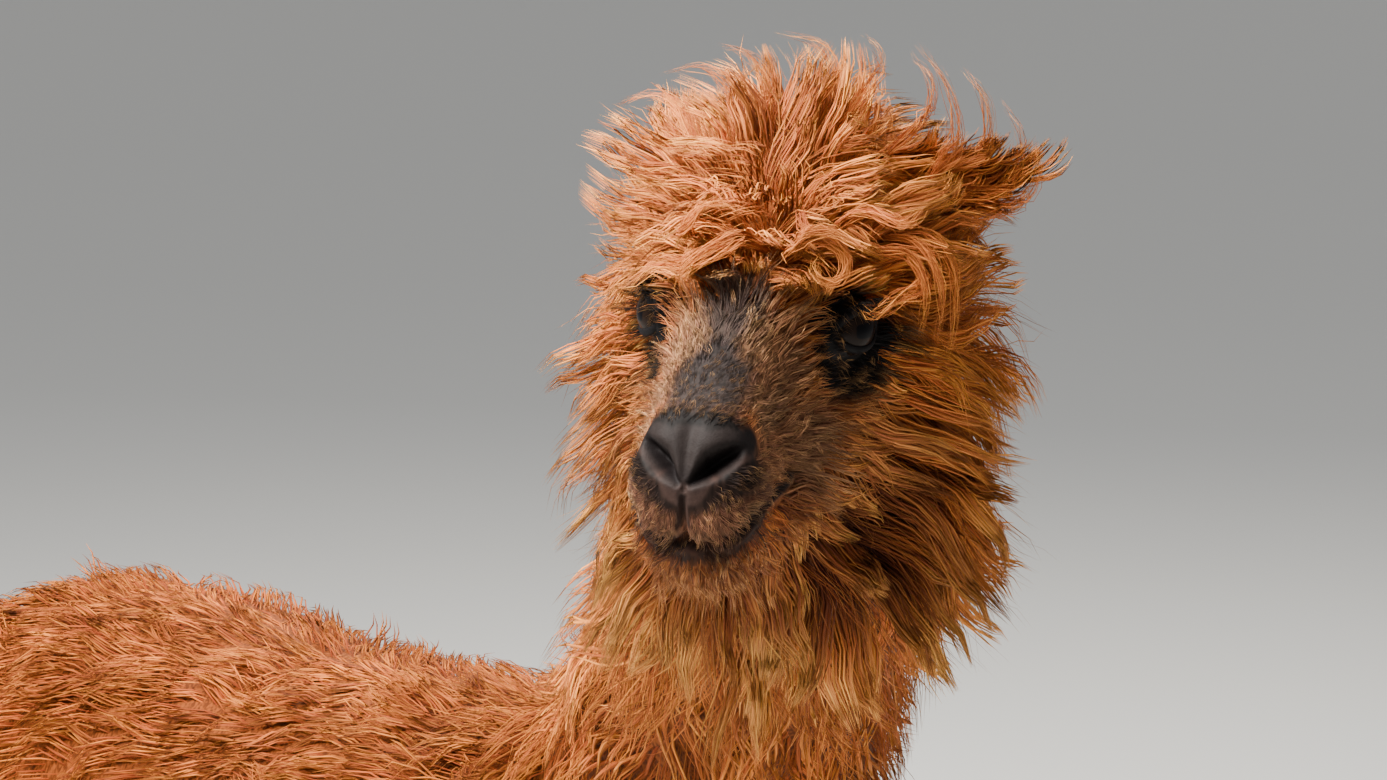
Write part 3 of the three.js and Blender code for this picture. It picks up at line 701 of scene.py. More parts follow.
bodyLie = [
    ([-660, 0, 760], [-0.8, 0, 0.1], [-0.5, 0, -0.8], 40),
    ([-655, 60, 640], [-0.7, 0.3, -0.5], [-0.3, 0.1, -1], 40),
    ([-600, 50, 845], [-0.8, 0.5, 0.4], [-0.8, 0.5, -0.4], 42),
    ([-620, 110, 740], [-0.8, 0.5, 0], [-0.6, 0.3, -0.7], 42),
    ([-400, 60, 866], [-0.7, 0.6, 0.5], [-0.8, 0.7, -0.3], 42),
    ([-400, 172, 660], [-0.7, 0.7, -0.1], [-0.7, 0.2, -0.7], 44),
    ([-400, 120, 800], [-0.7, 0.7, 0.3], [-0.8, 0.5, -0.5], 42),
    ([-400, 110, 480], [-0.5, 0.6, -0.6], [-0.5, 0.2, -0.8], 44),
    ([-400, 0, 450], [-0.7, 0, -0.7], [-0.8, 0, -0.5], 36),
    ([-200, 60, 846], [-0.7, 0.6, 0.5], [-0.8, 0.7, -0.3], 42),
    ([-200, 172, 650], [-0.7, 0.7, -0.1], [-0.7, 0.2, -0.7], 44),
    ([-200, 120, 790], [-0.7, 0.7, 0.3], [-0.8, 0.5, -0.5], 42),
    ([-200, 110, 460], [-0.5, 0.6, -0.6], [-0.5, 0.2, -0.8], 44),
    ([-200, 0, 432], [-0.7, 0, -0.7], [-0.8, 0, -0.5], 36),
    ([0, 60, 842], [-0.6, 0.5, 0.7], [-0.8, 0.6, -0.1], 52),
    ([120, 40, 830], [-0.4, 0.5, 0.8], [-0.7, 0.5, 0.2], 66),
    ([0, 165, 640], [-0.6, 0.8, -0.1], [-0.6, 0.2, -0.8], 44),
    ([0, 110, 460], [-0.4, 0.6, -0.6], [-0.3, 0.2, -0.9], 42),
    ([0, 0, 440], [-0.6, 0, -0.7], [-0.7, 0, -0.6], 36),
    ([120, 130, 660], [-0.2, 0.8, -0.2], [-0.2, 0.3, -0.9], 46),
    ([185, 50, 680], [0.6, 0.4, -0.3], [0.1, 0.2, -1], 48),
    ([170, 0, 560], [0.5, 0, -0.6], [0, 0, -1], 46),
    ([100, 0, 480], [0.1, 0, -0.9], [-0.2, 0, -1], 40),
]
legLie = [  # height, outward share, length: the same way round every leg
    (640, 0.5, 40), (520, 0.55, 38), (400, 0.6, 36), (320, 0.6, 33), (250, 0.6, 30),
    (160, 0.6, 27), (110, 0.55, 22), (70, 0.45, 12), (45, 0.35, 8), (25, 0.3, 7),
]
neckLie = [(0.1, 50), (0.3, 50), (0.5, 48), (0.7, 50), (0.88, 62)]  # share of the neck, length
tailLie = [(0.1, 46), (0.5, 54), (0.95, 58)]  # share of the tail, length
earLie = [(0.2, 18), (0.4, 20), (0.6, 22), (0.8, 24), (1.0, 26)]  # share of the ear, length


# Entries for both sides: place, start and tip with y turned over
def mirrored(entries):
    flip = np.array([1, -1, 1.0])
    table = [tuple(np.array(part, float) for part in entry[:3]) + (entry[3],) for entry in entries]
    return table + [(p * flip, a * flip, b * flip, length) for p, a, b, length in table if p[1]]


# Entries round the legs, the neck and the tail, in the body's frame: outward with a share along the limb
def limbLie():
    made = []
    quarters = [(cx, cy, side) for cx, cy in ((1, 0), (-1, 0), (0, 1), (0, -1)) for side in (1, -1)]
    for rows in legSkin.values():
        for height, outward, length in legLie:
            x, y, halfLength, halfWidth = profile(rows, max(height, rows[0][0]))
            for cx, cy, side in quarters:
                made.append((np.array([x + cx * halfLength, side * (y + cy * halfWidth), height]),
                             np.array([cx * outward - 0.15, side * cy * outward, -0.8]),
                             np.array([cx * 0.1 - 0.15, side * cy * 0.1, -1.0]), length))
    shares = np.array([share for share, _ in neckLie])
    centre, right, up, along = neckFrames(neckSkin, shares)
    halfWidth, nape, throat = profile(neckSkin["rows"], shares).T
    for i, (_, length) in enumerate(neckLie):
        sides = (right[i], halfWidth[i]), (-right[i], halfWidth[i]), (up[i], nape[i]), (-up[i], throat[i])
        for away, size in sides:
            made.append((centre[i] + away * size, away * 0.7 - along[i] * 0.5 + [0, 0, -0.2],
                         away * 0.25 - along[i] * 0.5 + [0, 0, -0.7], length))
    centre, along = curve(tailSkin["controls"], np.array([share for share, _ in tailLie]))
    for i, (_, length) in enumerate(tailLie):
        for away in np.array([[-1, 0, 0.3], [0, 1, 0], [0, -1, 0], [1, 0, -0.3]]):
            made.append((centre[i] + away * 20, away * 0.5 + along[i] * 0.7,
                         away * 0.15 + along[i] + [0, 0, -0.3], length))
    return made


# All entries in the model's frame: places, then start, tip and length side by side
def lieTable():
    table = [(headToModel(p), a @ headTurn.T, b @ headTurn.T, n) for p, a, b, n in mirrored(headLie)]
    table += [(p + bodyPlace, a, b, n) for p, a, b, n in mirrored(bodyLie) + limbLie()]
    for word in ("left", "right"):
        base, turn = earFrame(word)
        for share, length in earLie:
            for lift in (14, -8):
                place = base + turn @ np.array([share * ear["length"], 0, lift])
                start = turn @ np.array([1, 0, 0.03 * lift])
                tip = start * 0.45 + [-0.15, 0, 0.8]
                table.append((headToModel(place), start @ headTurn.T, tip @ headTurn.T, length))
    values = [np.concatenate([unit(a), unit(b), [n]]) for _, a, b, n in table]
    return np.array([p for p, *_ in table]), np.array(values)


liePlaces, lieValues = lieTable()


# Start direction, tip direction and length: the table's values weighed by the distance to the power of -4
def hairLie(points):
    weight = 1 / (np.sum((points[:, None] - liePlaces) ** 2, -1) + 60.0) ** 2
    value = (weight @ lieValues) / weight.sum(1, keepdims=True)
    return unit(value[:, :3]), unit(value[:, 3:6]), value[:, 6]


# The work on the points, done in slices so that it stays small in memory
def inChunks(work, points, size=20000):
    parts = [work(points[i:i + size]) for i in range(0, len(points), size)]
    if isinstance(parts[0], tuple):
        return tuple(np.concatenate(column) for column in zip(*parts))
    return np.concatenate(parts)


# Index of the nearest place to each point
def nearest(points, places):
    return inChunks(lambda p: np.argmin(np.sum(places**2, -1) - 2 * p @ places.T, 1), points, 4000)


# A smooth field of vectors between -1 and 1: sums of three slanted sine waves for each of x, y and z
def swirl(points, wavelength, seed):
    rng = np.random.default_rng(seed)
    waves = unit(rng.normal(size=(9, 3))) * (2 * np.pi / wavelength) * rng.uniform(0.7, 1.4, (9, 1))
    return np.sin(points @ waves.T + rng.uniform(0, 6.28, 9)).reshape(len(points), 3, 3).sum(-1) / 3


# An order that keeps neighbours together: the bits of x, y and z woven into one number
def woven(points):
    cell = ((points - points.min(0)) / 8).astype(np.int64)
    key = np.zeros(len(points), np.int64)
    for bit in range(9):
        for axis in range(3):
            key |= ((cell[:, axis] >> bit) & 1) << (3 * bit + axis)
    return np.argsort(key, kind="stable")


# The skin's finished surface, with what the coat needs at each triangle
skinPoints, skinNormals, skinTriangles = readMesh(skin)
skinCorners = skinPoints[skinTriangles]
skinCentres = skinCorners.mean(1)
skinEdges = skinCorners[:, 1:] - skinCorners[:, :1]
skinAreas = np.linalg.norm(np.cross(skinEdges[:, 0], skinEdges[:, 1]), axis=1) / 2
inHeadFrame = modelToHead(skinCentres)
inBodyFrame = skinCentres - bodyPlace
hairLengths = inChunks(hairLie, skinCentres)[2]
bareSpots = {"pad": [[139, 0, -58], [134, 0, -41]], "wing": [[132, 10, -43], [124, 22, -41]],
             "nostril": np.array(nostril["line"]) - [4, 0, -1], "mouth": mouth["line"],
             "cleft": philtrum["line"]}
bareEdges = {"pad": (13.5, 17), "wing": (9, 12.5), "nostril": (8, 10.5), "mouth": (4.2, 7.5),
             "cleft": (2.2, 3.6)}  # distances from each line where hair begins and where it is full
eyeEdge = (21.2, 22.6)


# 1 where the skin carries no hair, in the head's frame: nose pad, nostrils, lip line and eye openings
def bareness(points):
    left = onLeft(points)
    bare = 1 - smooth(np.linalg.norm(left - np.array(eye["centre"]), axis=-1), *eyeEdge)
    for name, line in bareSpots.items():
        bare = np.maximum(bare, 1 - smooth(alongLine(left, line)[0], *bareEdges[name]))
    return bare


skinBare = bareness(inHeadFrame)
earAxes = [(headToModel(base), headTurn @ turn) for base, turn in map(earFrame, ("left", "right"))]


# 1 on the ears and 0 on the head, by the place along each ear's length
def earShare(points):
    share = np.zeros(len(points))
    for base, turn in earAxes:
        local = (points - base) @ turn
        within = (np.linalg.norm(local[:, 1:], axis=1) < 34) & (local[:, 0] < ear["length"] + 8)
        share = np.maximum(share, smooth(local[:, 0], 14, 24) * within)
    return share


skinEar = earShare(skinCentres)
neckLine = neckFrames(neckSkin, np.linspace(0, 1, 60))[0] + bodyPlace
headSpots = headToModel(np.array([[-60.0, 0, -50], [20, 0, -50], [-110, 0, -20]]))
nearHead = nearest(skinCentres, np.concatenate([neckLine, headSpots])) >= len(neckLine)

# Which triangles belong to which region, by limits in the head's frame and in the body's
regions = {"headBack": -185, "headLow": -190, "headSide": 96, "headAbove": 1040, "tailBehind": -672,
           "tailBelow": 815, "neckAhead": 90, "neckAbove": 740, "allNeckAbove": 900, "legsBelow": 500,
           "legsAside": 40, "forelegs": (10, 110), "hindlegs": (-540, 130), "thickerAbove": (740, 850)}
headX, headY, headZ = inHeadFrame.T
bodyX, bodyY, bodyZ = inBodyFrame.T
onHead = (headX > regions["headBack"]) & (headZ > regions["headLow"])
onHead &= (np.abs(headY) < regions["headSide"]) & (bodyZ > regions["headAbove"])
onHead |= nearHead
onTail = (bodyX < regions["tailBehind"]) & (bodyZ < regions["tailBelow"])
onNeck = (bodyZ > regions["neckAbove"]) & (bodyX > regions["neckAhead"]) | (bodyZ > regions["allNeckAbove"])
onNeck &= ~onHead
onLegs = [np.abs(bodyX - middle) < reach for middle, reach in (regions["forelegs"], regions["hindlegs"])]
onLegs = (onLegs[0] | onLegs[1]) & (bodyZ < regions["legsBelow"]) & (np.abs(bodyY) > regions["legsAside"])
onLegs &= ~onHead & ~onNeck & ~onTail
onTrunk = (~onHead & ~onNeck & ~onTail & ~onLegs) * (1 + smooth(bodyZ, *regions["thickerAbove"]))


# Roots on the skin: the running total of area times density, cut into equal steps with a little chance, in
# an order that keeps neighbours together. Returns places and normals.
def scatter(density, count, seed):
    rng = np.random.default_rng(seed)
    order = woven(skinCentres)
    total = np.cumsum((skinAreas * density)[order])
    steps = (np.arange(count) + rng.random(count)) / count * total[-1]
    chosen = order[np.minimum(np.searchsorted(total, steps), len(order) - 1)]
    a, b = rng.random((2, count, 1))
    flip = a + b > 1
    a, b = np.where(flip, 1 - a, a), np.where(flip, 1 - b, b)
    corners = skinTriangles[chosen]
    mix = [1 - a - b, a, b]
    places = sum(m * skinPoints[corners[:, k]] for k, m in enumerate(mix))
    return places, unit(sum(m * skinNormals[corners[:, k]] for k, m in enumerate(mix)))


# Centre lines: start fades into tip along the hair, which gives places + length (start (t - t²/2) + tip
# t²/2), with a sideways wave that grows from the root, kept above a surface that falls away by half of
# distance² over bend
def hairPaths(places, normals, start, tip, length, setup, phase, seed):
    rng = np.random.default_rng(seed)
    t = np.linspace(0, 1, setup["rings"] + 1)[None, :, None]
    low = setup["rise"] - np.sum(start * normals, -1, keepdims=True)
    start = unit(start + normals * np.maximum(0, low))
    length = length[:, None, None]
    offset = length * (start[:, None] * (t - t**2 / 2) + tip[:, None] * (t**2 / 2))
    side = unit(np.cross(start, normals + 1e-3))[:, None]
    out = np.cross(side, start[:, None])
    turn = 2 * np.pi * (t * length / setup["wavelength"] + phase[:, None, None])
    swing = setup["wave"] * t**0.8 * rng.uniform(0.5, 1.3, (len(places), 1, 1))
    offset = offset + swing * (np.sin(turn) * side + 0.6 * np.cos(turn) * out)
    height = np.sum(offset * normals[:, None], -1, keepdims=True)
    across = np.sum(offset**2, -1, keepdims=True) - height**2
    floor = setup["lift"] * np.sqrt(t) - across / (2 * setup["bend"])
    offset = offset + normals[:, None] * np.maximum(0, floor - height)
    return places[:, None] - normals[:, None] * setup["sink"] + offset


tuftOnMap = 0.003  # how long a strand's patch is on the map


# Closed three-sided strands along the paths, ending in a point. Their radius is multiplied by 1 - 0.8
# t^taper and by a slimmer root, and they are flattened against the skin. Every point keeps the place
# along, the place across and its strand's values.
def strandMesh(name, paths, normals, radius, setup, values, colour, flatUv):
    count, rings = paths.shape[0], paths.shape[1] - 1
    t = np.linspace(0, 1, rings + 1)[:rings]
    tangent = unit(np.gradient(paths, axis=1))[:, :rings]
    side = unit(np.cross(tangent, normals[:, None] + 1e-4))
    up = np.cross(side, tangent)
    thick = radius[:, None] * (0.55 + 0.45 * smooth(t, 0, 0.3)) * (1 - t ** setup["taper"] * 0.8)
    angle = np.pi / 2 + 2 * np.pi * np.arange(3) / 3
    wide, tall = np.cos(angle)[:, None], setup["flat"] * np.sin(angle)[:, None]
    ring = wide * side[:, :, None] + tall * up[:, :, None]
    body = paths[:, :rings, None] + thick[:, :, None, None] * ring
    points = np.concatenate([body.reshape(count, -1, 3), paths[:, -1:]], 1)
    each, last = 3 * rings + 1, 3 * (rings - 1)
    ends = [[0, 2, 1]] + [[last + k, last + (k + 1) % 3, each - 1] for k in range(3)]
    one = np.concatenate([gridTriangles(rings, 3)[:, ::-1], ends])
    triangles = (one[None] + (np.arange(count) * each)[:, None, None]).reshape(-1, 3)
    values = {key: np.repeat(value, each) for key, value in values.items()}
    along = np.tile(np.concatenate([np.repeat(t, 3), [1]]), count)
    across = np.tile(np.concatenate([np.tile([0, -1, 1], rings), [0]]), count)
    values["along"], values["across"] = along, across
    uv = np.repeat(flatUv, each, 0) + np.stack([across * tuftOnMap / 2, (along - 0.5) * tuftOnMap], -1)
    lay = np.repeat(normals, each, 0) * (setup["lay"] * (1 - 0.5 * along[:, None] ** 2))
    return makeMesh(name, points.reshape(-1, 3), triangles, values, np.repeat(colour, each, 0), uv, lay)


# Colours of skin and coat: a ground colour, then patches laid over it in turn. A patch is a line in the
# head's frame, how far it reaches, how soft its edge is, its colour and how much of it shows.

# The head's ground is lighter than the body's partly as painted light and shade, evening out the weaker
# light on the crown against the stronger light on the body
ground = {"head": (0.80, 0.225, 0.052), "body": (0.52, 0.124, 0.020), "low": (0.46, 0.125, 0.028),
          "headFrom": (820, 1050), "lowFrom": (420, 120), "shoulderShade": 0.2, "shoulderFrom": (-280, 20),
          "shoulderUpTo": (840, 960)}
patches = [
    ([[30, 44, -70], [-25, 66, -85]], 30, 34, (0.48, 0.18, 0.066), 0.6),  # cheek
    ([[10, 0, -155], [-10, 50, -162], [-50, 72, -170]], 26, 34,  # painted shade under the jaw
     (0.34, 0.088, 0.020), 0.75),
    ([[80, 38, -50], [40, 44, -62]], 14, 26, (0.46, 0.235, 0.125), 0.8),  # side of the muzzle
    ([[112, 0, -118], [60, 0, -124]], 22, 20, (0.36, 0.125, 0.045), 0.8),  # chin
    ([[112, 0, -22], [70, 0, 2], [46, 0, 18]], 17, 15, (0.16, 0.108, 0.082), 0.95),  # bridge of the nose
    ([[84, 27, -28], [44, 36, -14]], 7, 14, (0.36, 0.20, 0.11), 0.8),  # paler hair beside the bridge
    ([[84, 2, -8], [52, 4, 13]], 9, 16, (0.078, 0.057, 0.050), 0.85),  # dark line up the bridge
    ([[112, 0, -24], [84, 0, -8]], 16, 16, (0.044, 0.033, 0.032), 0.9),  # lower bridge
    ([[62, 24, 0], [40, 30, 8]], 9, 12, (0.36, 0.18, 0.09), 0.85),  # inner corner of the eye
    ([[126, 20, -27], [122, 31, -38], [118, 36, -52]], 11, 14,  # beside the nostril
     (0.15, 0.07, 0.042), 0.95),
    ([[134, 0, -72], [132, 14, -80], [126, 26, -78], [112, 34, -74]], 13, 12,  # upper lip
     (0.25, 0.115, 0.070), 0.95),
    ([[136, 8, -66], [130, 24, -60], [122, 33, -54]], 8, 7,  # under the nostril
     (0.060, 0.031, 0.023), 1.0),
    ([[131, 8, -89], [126, 21, -86], [118, 32, -76]], 3.0, 4.5,  # pale edge of the lip
     (0.44, 0.27, 0.13), 0.75),
    ([[129, 0, -103], [124, 17, -102], [116, 30, -95], [104, 36, -88]], 4.5, 6,  # lower lip: its dark skin, with painted shade below the mouth's line
     (0.050, 0.023, 0.016), 0.9),
    (mouth["line"], 4.0, 4.5, (0.028, 0.013, 0.010), 1.0),  # painted shadow along the mouth's line, where the lips meet
    ([[137, 0, -52], [134, 0, -38], [127, 12, -34], [124, 24, -44]], 14, 7,  # nose pad
     (0.0155, 0.0112, 0.0102), 1.0),
    ([[137, 7, -69], [131, 16, -65], [124, 27, -58], [119, 32, -52]], 3.5, 5,  # rim below it
     (0.030, 0.017, 0.0135), 0.9),
    ([[138, 0, -64], [138, 0, -84]], 2.6, 3.4, (0.030, 0.018, 0.015), 0.95),  # cleft of the lip
    ([[0, 52, 4], [2, 54, -14], [-20, 63, -18]], 22, 11, (0.0055, 0.0045, 0.005), 1.0),  # round the eye
    ([[8, 50, -18], [16, 48, -34]], 4, 8, (0.03, 0.025, 0.024), 0.8),  # tear line
    ([[-92, 84, 52], [-96, 112, 54]], 6, 9, (0.07, 0.03, 0.018), 0.6),  # inside of the ear
]


# Colour at each place: the ground, darker at the shoulders and the feet, with the patches laid over it
def marking(points):
    inHead = onLeft(modelToHead(points))
    x, z = (points - bodyPlace)[:, :1], (points - bodyPlace)[:, 2:]
    low, high = smooth(z, *ground["lowFrom"]), smooth(z, *ground["headFrom"])
    colour = np.array(ground["body"]) * (1 - high) + np.array(ground["head"]) * high
    colour = colour * (1 - low) + np.array(ground["low"]) * low
    shoulder = smooth(x, *ground["shoulderFrom"]) * (1 - smooth(z, *ground["shoulderUpTo"]))
    colour = colour * (1 - ground["shoulderShade"] * shoulder)
    for line, reach, soft, shade, amount in patches:
        share = amount * (1 - smooth(alongLine(inHead, line)[0], reach, reach + soft))[:, None]
        colour = colour * (1 - share) + np.array(shade) * share
    return colour


# The skin laid flat, 0 to 1 each way: round the trunk and neck by the angle about the middle line, round
# the head by the angle about its long axis, and each leg in a quarter of its own
def chart(points, kind):
    turn = 6.6  # a little over a full turn, so that the edges stay inside
    if kind == "head":
        p = modelToHead(points)
        return np.stack([0.5 + np.arctan2(p[:, 1], p[:, 2] + 50) / turn, (p[:, 0] + 210) / 380], -1)
    p = points - bodyPlace
    if kind == "neck":
        away = (points - neckLine[nearest(points, neckLine)])[:, :2].T
        return np.stack([0.5 + np.arctan2(*away) / turn, (p[:, 2] - 620) / 620], -1)
    if kind == "legs":
        front, left = p[:, 0] > -260, p[:, 1] > 0
        angle = np.arctan2(np.abs(p[:, 1]) - 115, p[:, 0] - np.where(front, 10, -550))
        height = np.clip(p[:, 2] / 760, 0, 1)
        return np.stack([(0.5 + angle / turn) / 2 + left * 0.5, height * 0.49 + front * 0.5], -1)
    return np.stack([0.5 + np.arctan2(p[:, 1], p[:, 2] - 650) / turn, (p[:, 0] + 780) / 1080], -1)


# The direction with at most the share stand pointing away from the skin
def laidDown(direction, normals, setup):
    direction = unit(direction)
    out = np.sum(direction * normals, -1, keepdims=True)
    return unit(direction - normals * np.maximum(0, out - setup["stand"]))


# One coat piece. Hairs gather towards the path of the nearest guide, more at the tip, which makes locks,
# and each guide bends towards the nearest leader's path, which groups the locks.
def coat(setup):
    places, normals = scatter(np.asarray(setup["where"], float), setup["count"], setup["seed"])
    rng = np.random.default_rng(setup["seed"] + 1)
    start, tip, length = inChunks(hairLie, places)
    stir = swirl(places, setup["swirlSize"], setup["seed"]) * setup["swirl"]
    start, tip = start + stir * 0.5, tip + stir
    length = np.minimum(length * setup["long"], setup["most"])
    t = np.linspace(0, 1, setup["rings"] + 1)[None, :, None]

    guides = np.arange(setup["each"] // 2, setup["count"], setup["each"])
    guidePlaces = places[guides]
    guideTurn = rng.normal(size=(len(guides), 3)) * setup["stray"]
    guideLong = rng.uniform(1 - setup["uneven"], 1 + setup["uneven"], len(guides))
    guideNormals = unit(normals[guides] * 2 + normals[np.minimum(guides + 1, setup["count"] - 1)])
    phase = swirl(guidePlaces, 240, 5)[:, 0] * 1.2 + rng.random(len(guides)) * 0.35  # neighbours wave alike
    guideTips = laidDown(tip[guides] + guideTurn * setup["sweep"], guideNormals, setup)
    guidePaths = hairPaths(guidePlaces, guideNormals, unit(start[guides] + guideTurn * 0.4), guideTips,
                           length[guides] * guideLong, setup, phase, setup["seed"] + 2)
    leaders = np.arange(len(guides))[3::7]  # one lock in seven leads the others
    led = leaders[nearest(guidePlaces, guidePlaces[leaders])]
    follow = setup["follow"] * t**1.2
    guidePaths = guidePaths * (1 - follow) + guidePaths[led] * follow

    mine = nearest(places, guidePlaces)
    ownTips = tip + rng.normal(size=places.shape) * setup["loose"] + guideTurn[mine] * setup["sweep"]
    ownStarts = start + guideTurn[mine] * 0.4 + rng.normal(size=places.shape) * setup["loose"] * 0.5
    ownLengths = length * guideLong[mine] * rng.uniform(0.8, 1.05, len(places))
    ownTips = laidDown(ownTips, normals, setup)
    paths = hairPaths(places, normals, unit(ownStarts), ownTips, ownLengths, setup, phase[mine],
                      setup["seed"] + 3)
    free = rng.random(len(places)) < setup["flyaway"]
    gather = np.where(free, 0.25, setup["gather"] * rng.uniform(0.75, 1.1, len(places)))
    gather = gather * np.clip(length / setup["gathered"], 0.35, 1)
    pull = np.clip(gather, 0, 0.97)[:, None, None] * t ** setup["gatherPower"]
    paths = paths * (1 - pull) + guidePaths[mine] * pull
    paths[..., 2] = np.maximum(paths[..., 2], 2)  # no hair reaches the floor
    radius = setup["radius"] * rng.uniform(0.7, 1.25, len(places)) * np.where(free, 0.55, 1)
    radius = radius * np.clip(length / setup["full"], 0.3, 1)
    values = {"tone": rng.random(len(places)), "lock": rng.random(len(guides))[mine]}
    colours, onMap = marking(paths[:, setup["rings"] // 2]), chart(places, setup["chart"])
    made = strandMesh(setup["name"], paths, normals, radius, setup, values, colours, onMap)
    print(setup["name"], len(made.data.polygons), "triangles")
    return made


# Kinds of hair, in millimetres and shares
longHair = {
    "rings": 6, "radius": 0.95, "taper": 2.2, "flat": 0.4,  # a strand's rings and section
    "full": 1,  # length from which a strand has its full radius
    "long": 1.0, "most": 120, "uneven": 0.25,  # times the table's length, longest, unevenness of locks
    "rise": 0.25, "sink": 3, "stand": 1,  # least rise at the root, depth of the root, most rise of the tip
    "lift": 10, "bend": 120,  # height of the tip above the skin, radius at which the skin curves away
    "lay": 1,  # share of the skin's normal in the shading
    "wave": 4.2, "wavelength": 52,
    "each": 12, "gather": 0.86, "gatherPower": 0.85,  # strands to a lock, how far and how soon they gather
    "gathered": 1,  # length from which hairs gather fully
    "stray": 0.26, "sweep": 1.6, "loose": 0.2,  # turn of a lock, times that at its tip, turn of a strand
    "follow": 0.6, "flyaway": 0.06,  # how far a lock joins its leader, share of strands that stay apart
    "swirl": 0.32, "swirlSize": 90,  # slow changes of direction over the coat
    "chart": "head",
}
fineHair = {
    **longHair, "rings": 5, "radius": 0.34, "flat": 0.8, "gather": 0.6, "stray": 0.34, "loose": 0.3,
    "long": 1.04, "flyaway": 0.3, "each": 5,
}
woolHair = {
    **longHair, "rings": 3, "radius": 1.1, "flat": 0.55, "each": 11, "gather": 0.5, "gatherPower": 1.0,
    "wave": 3.4, "wavelength": 38, "lift": 7, "bend": 260, "stray": 0.32, "swirl": 0.46, "swirlSize": 120,
    "flyaway": 0.01, "long": 1.3, "stand": 0.22, "chart": "trunk",
}
shortHair = {
    **longHair, "rings": 3, "radius": 0.5, "flat": 0.6, "each": 6, "gather": 0.52, "gatherPower": 0.9,
    "wave": 1.8, "wavelength": 12, "bend": 60, "lift": 1.6, "sink": 0.8, "swirl": 0.3, "swirlSize": 40,
    "stray": 0.2, "loose": 0.16, "flyaway": 0.03, "long": 1.75, "follow": 0.3, "full": 18,
}
hidden = smooth(hairLengths, 19, 27) * (1 - skinEar)  # where long hair covers the short
isShort = onHead * (1 - hidden) * (1 - skinBare) * (1 - skinEar) / np.sqrt(np.maximum(hairLengths, 5))
isLong = smooth(hairLengths, 15, 24) * (1 - skinEar) * (1 - skinBare)
isCheek = onHead * isLong * (headZ <= 20)
isBeard = smooth(headZ, -78, -100) * smooth(headX, -130, -100)
coatSetups = [
    {**longHair, "name": "fleece_crown", "count": 4400, "seed": 11, "stray": 0.36, "swirl": 0.5,
     "sweep": 2.0, "long": 1.14, "where": onHead * isLong * (headZ > 20)},
    {**longHair, "name": "fleece_cheek_left", "count": 3000, "seed": 21, "rise": 0.4, "long": 1.12,
     "where": isCheek * (headY > 0) * (1 - isBeard)},
    {**longHair, "name": "fleece_cheek_right", "count": 3000, "seed": 31, "rise": 0.5, "long": 1.25,
     "where": isCheek * (headY <= 0) * (1 - isBeard)},
    {**longHair, "name": "fleece_beard", "count": 3400, "seed": 37, "each": 32, "gather": 0.97,
     "gatherPower": 0.65, "gathered": 55, "rise": 0.6, "stray": 0.2, "follow": 0.3, "long": 1.14,
     "lift": 16, "where": isCheek * isBeard},
    {**fineHair, "name": "fleece_fine", "count": 3000, "seed": 41, "where": onHead * isLong},
    {**longHair, "name": "fleece_neck_locks", "count": 1500, "seed": 51, "rings": 5, "radius": 2.2,
     "each": 5, "gather": 0.6, "chart": "neck", "where": onNeck},
    {**woolHair, "name": "fleece_neck", "count": 7300, "seed": 55, "rings": 4, "radius": 0.7,
     "chart": "neck", "where": onNeck},
    {**woolHair, "name": "fleece_trunk_left", "count": 7000, "seed": 65, "where": onTrunk * (bodyY > 0)},
    {**woolHair, "name": "fleece_trunk_right", "count": 9500, "seed": 71, "where": onTrunk * (bodyY <= 0)},
    {**woolHair, "name": "fleece_legs", "count": 8300, "seed": 81, "wave": 2.4, "bend": 50, "lift": 6,
     "rise": 0.42, "radius": 1.9, "flat": 0.4, "each": 5, "gather": 0.32, "long": 1.35, "chart": "legs",
     "where": onLegs * (bodyZ > 56) * (1 + 1.2 * smooth(bodyZ, 420, 250))},
    {**shortHair, "name": "hair_feet", "count": 3400, "seed": 91, "radius": 1.2, "long": 1.5, "bend": 30,
     "chart": "legs", "full": 8, "where": onLegs * (bodyZ <= 76) * (bodyZ > 5)},
    {**longHair, "name": "fleece_tail", "count": 800, "seed": 101, "radius": 2.0, "bend": 60, "long": 1.25,
     "chart": "trunk", "where": onTail},
    {**shortHair, "name": "hair_face", "count": 11000, "seed": 111, "radius": 0.4, "where": isShort},
    {**longHair, "name": "hair_ears", "count": 1800, "seed": 121, "radius": 0.7, "rings": 5, "each": 7,
     "gather": 0.6, "wave": 3, "bend": 60, "lift": 3, "sink": 1, "long": 1.45, "most": 40, "stray": 0.34,
     "where": skinEar},
]
coats = [coat(setup) for setup in coatSetups]


# Single locks that lie over the coat: control points in the head's frame, thickness at the root, strands.
# The curl over the brow ends in a spiral, given by its centre, the way it faces, its radius and its turns.

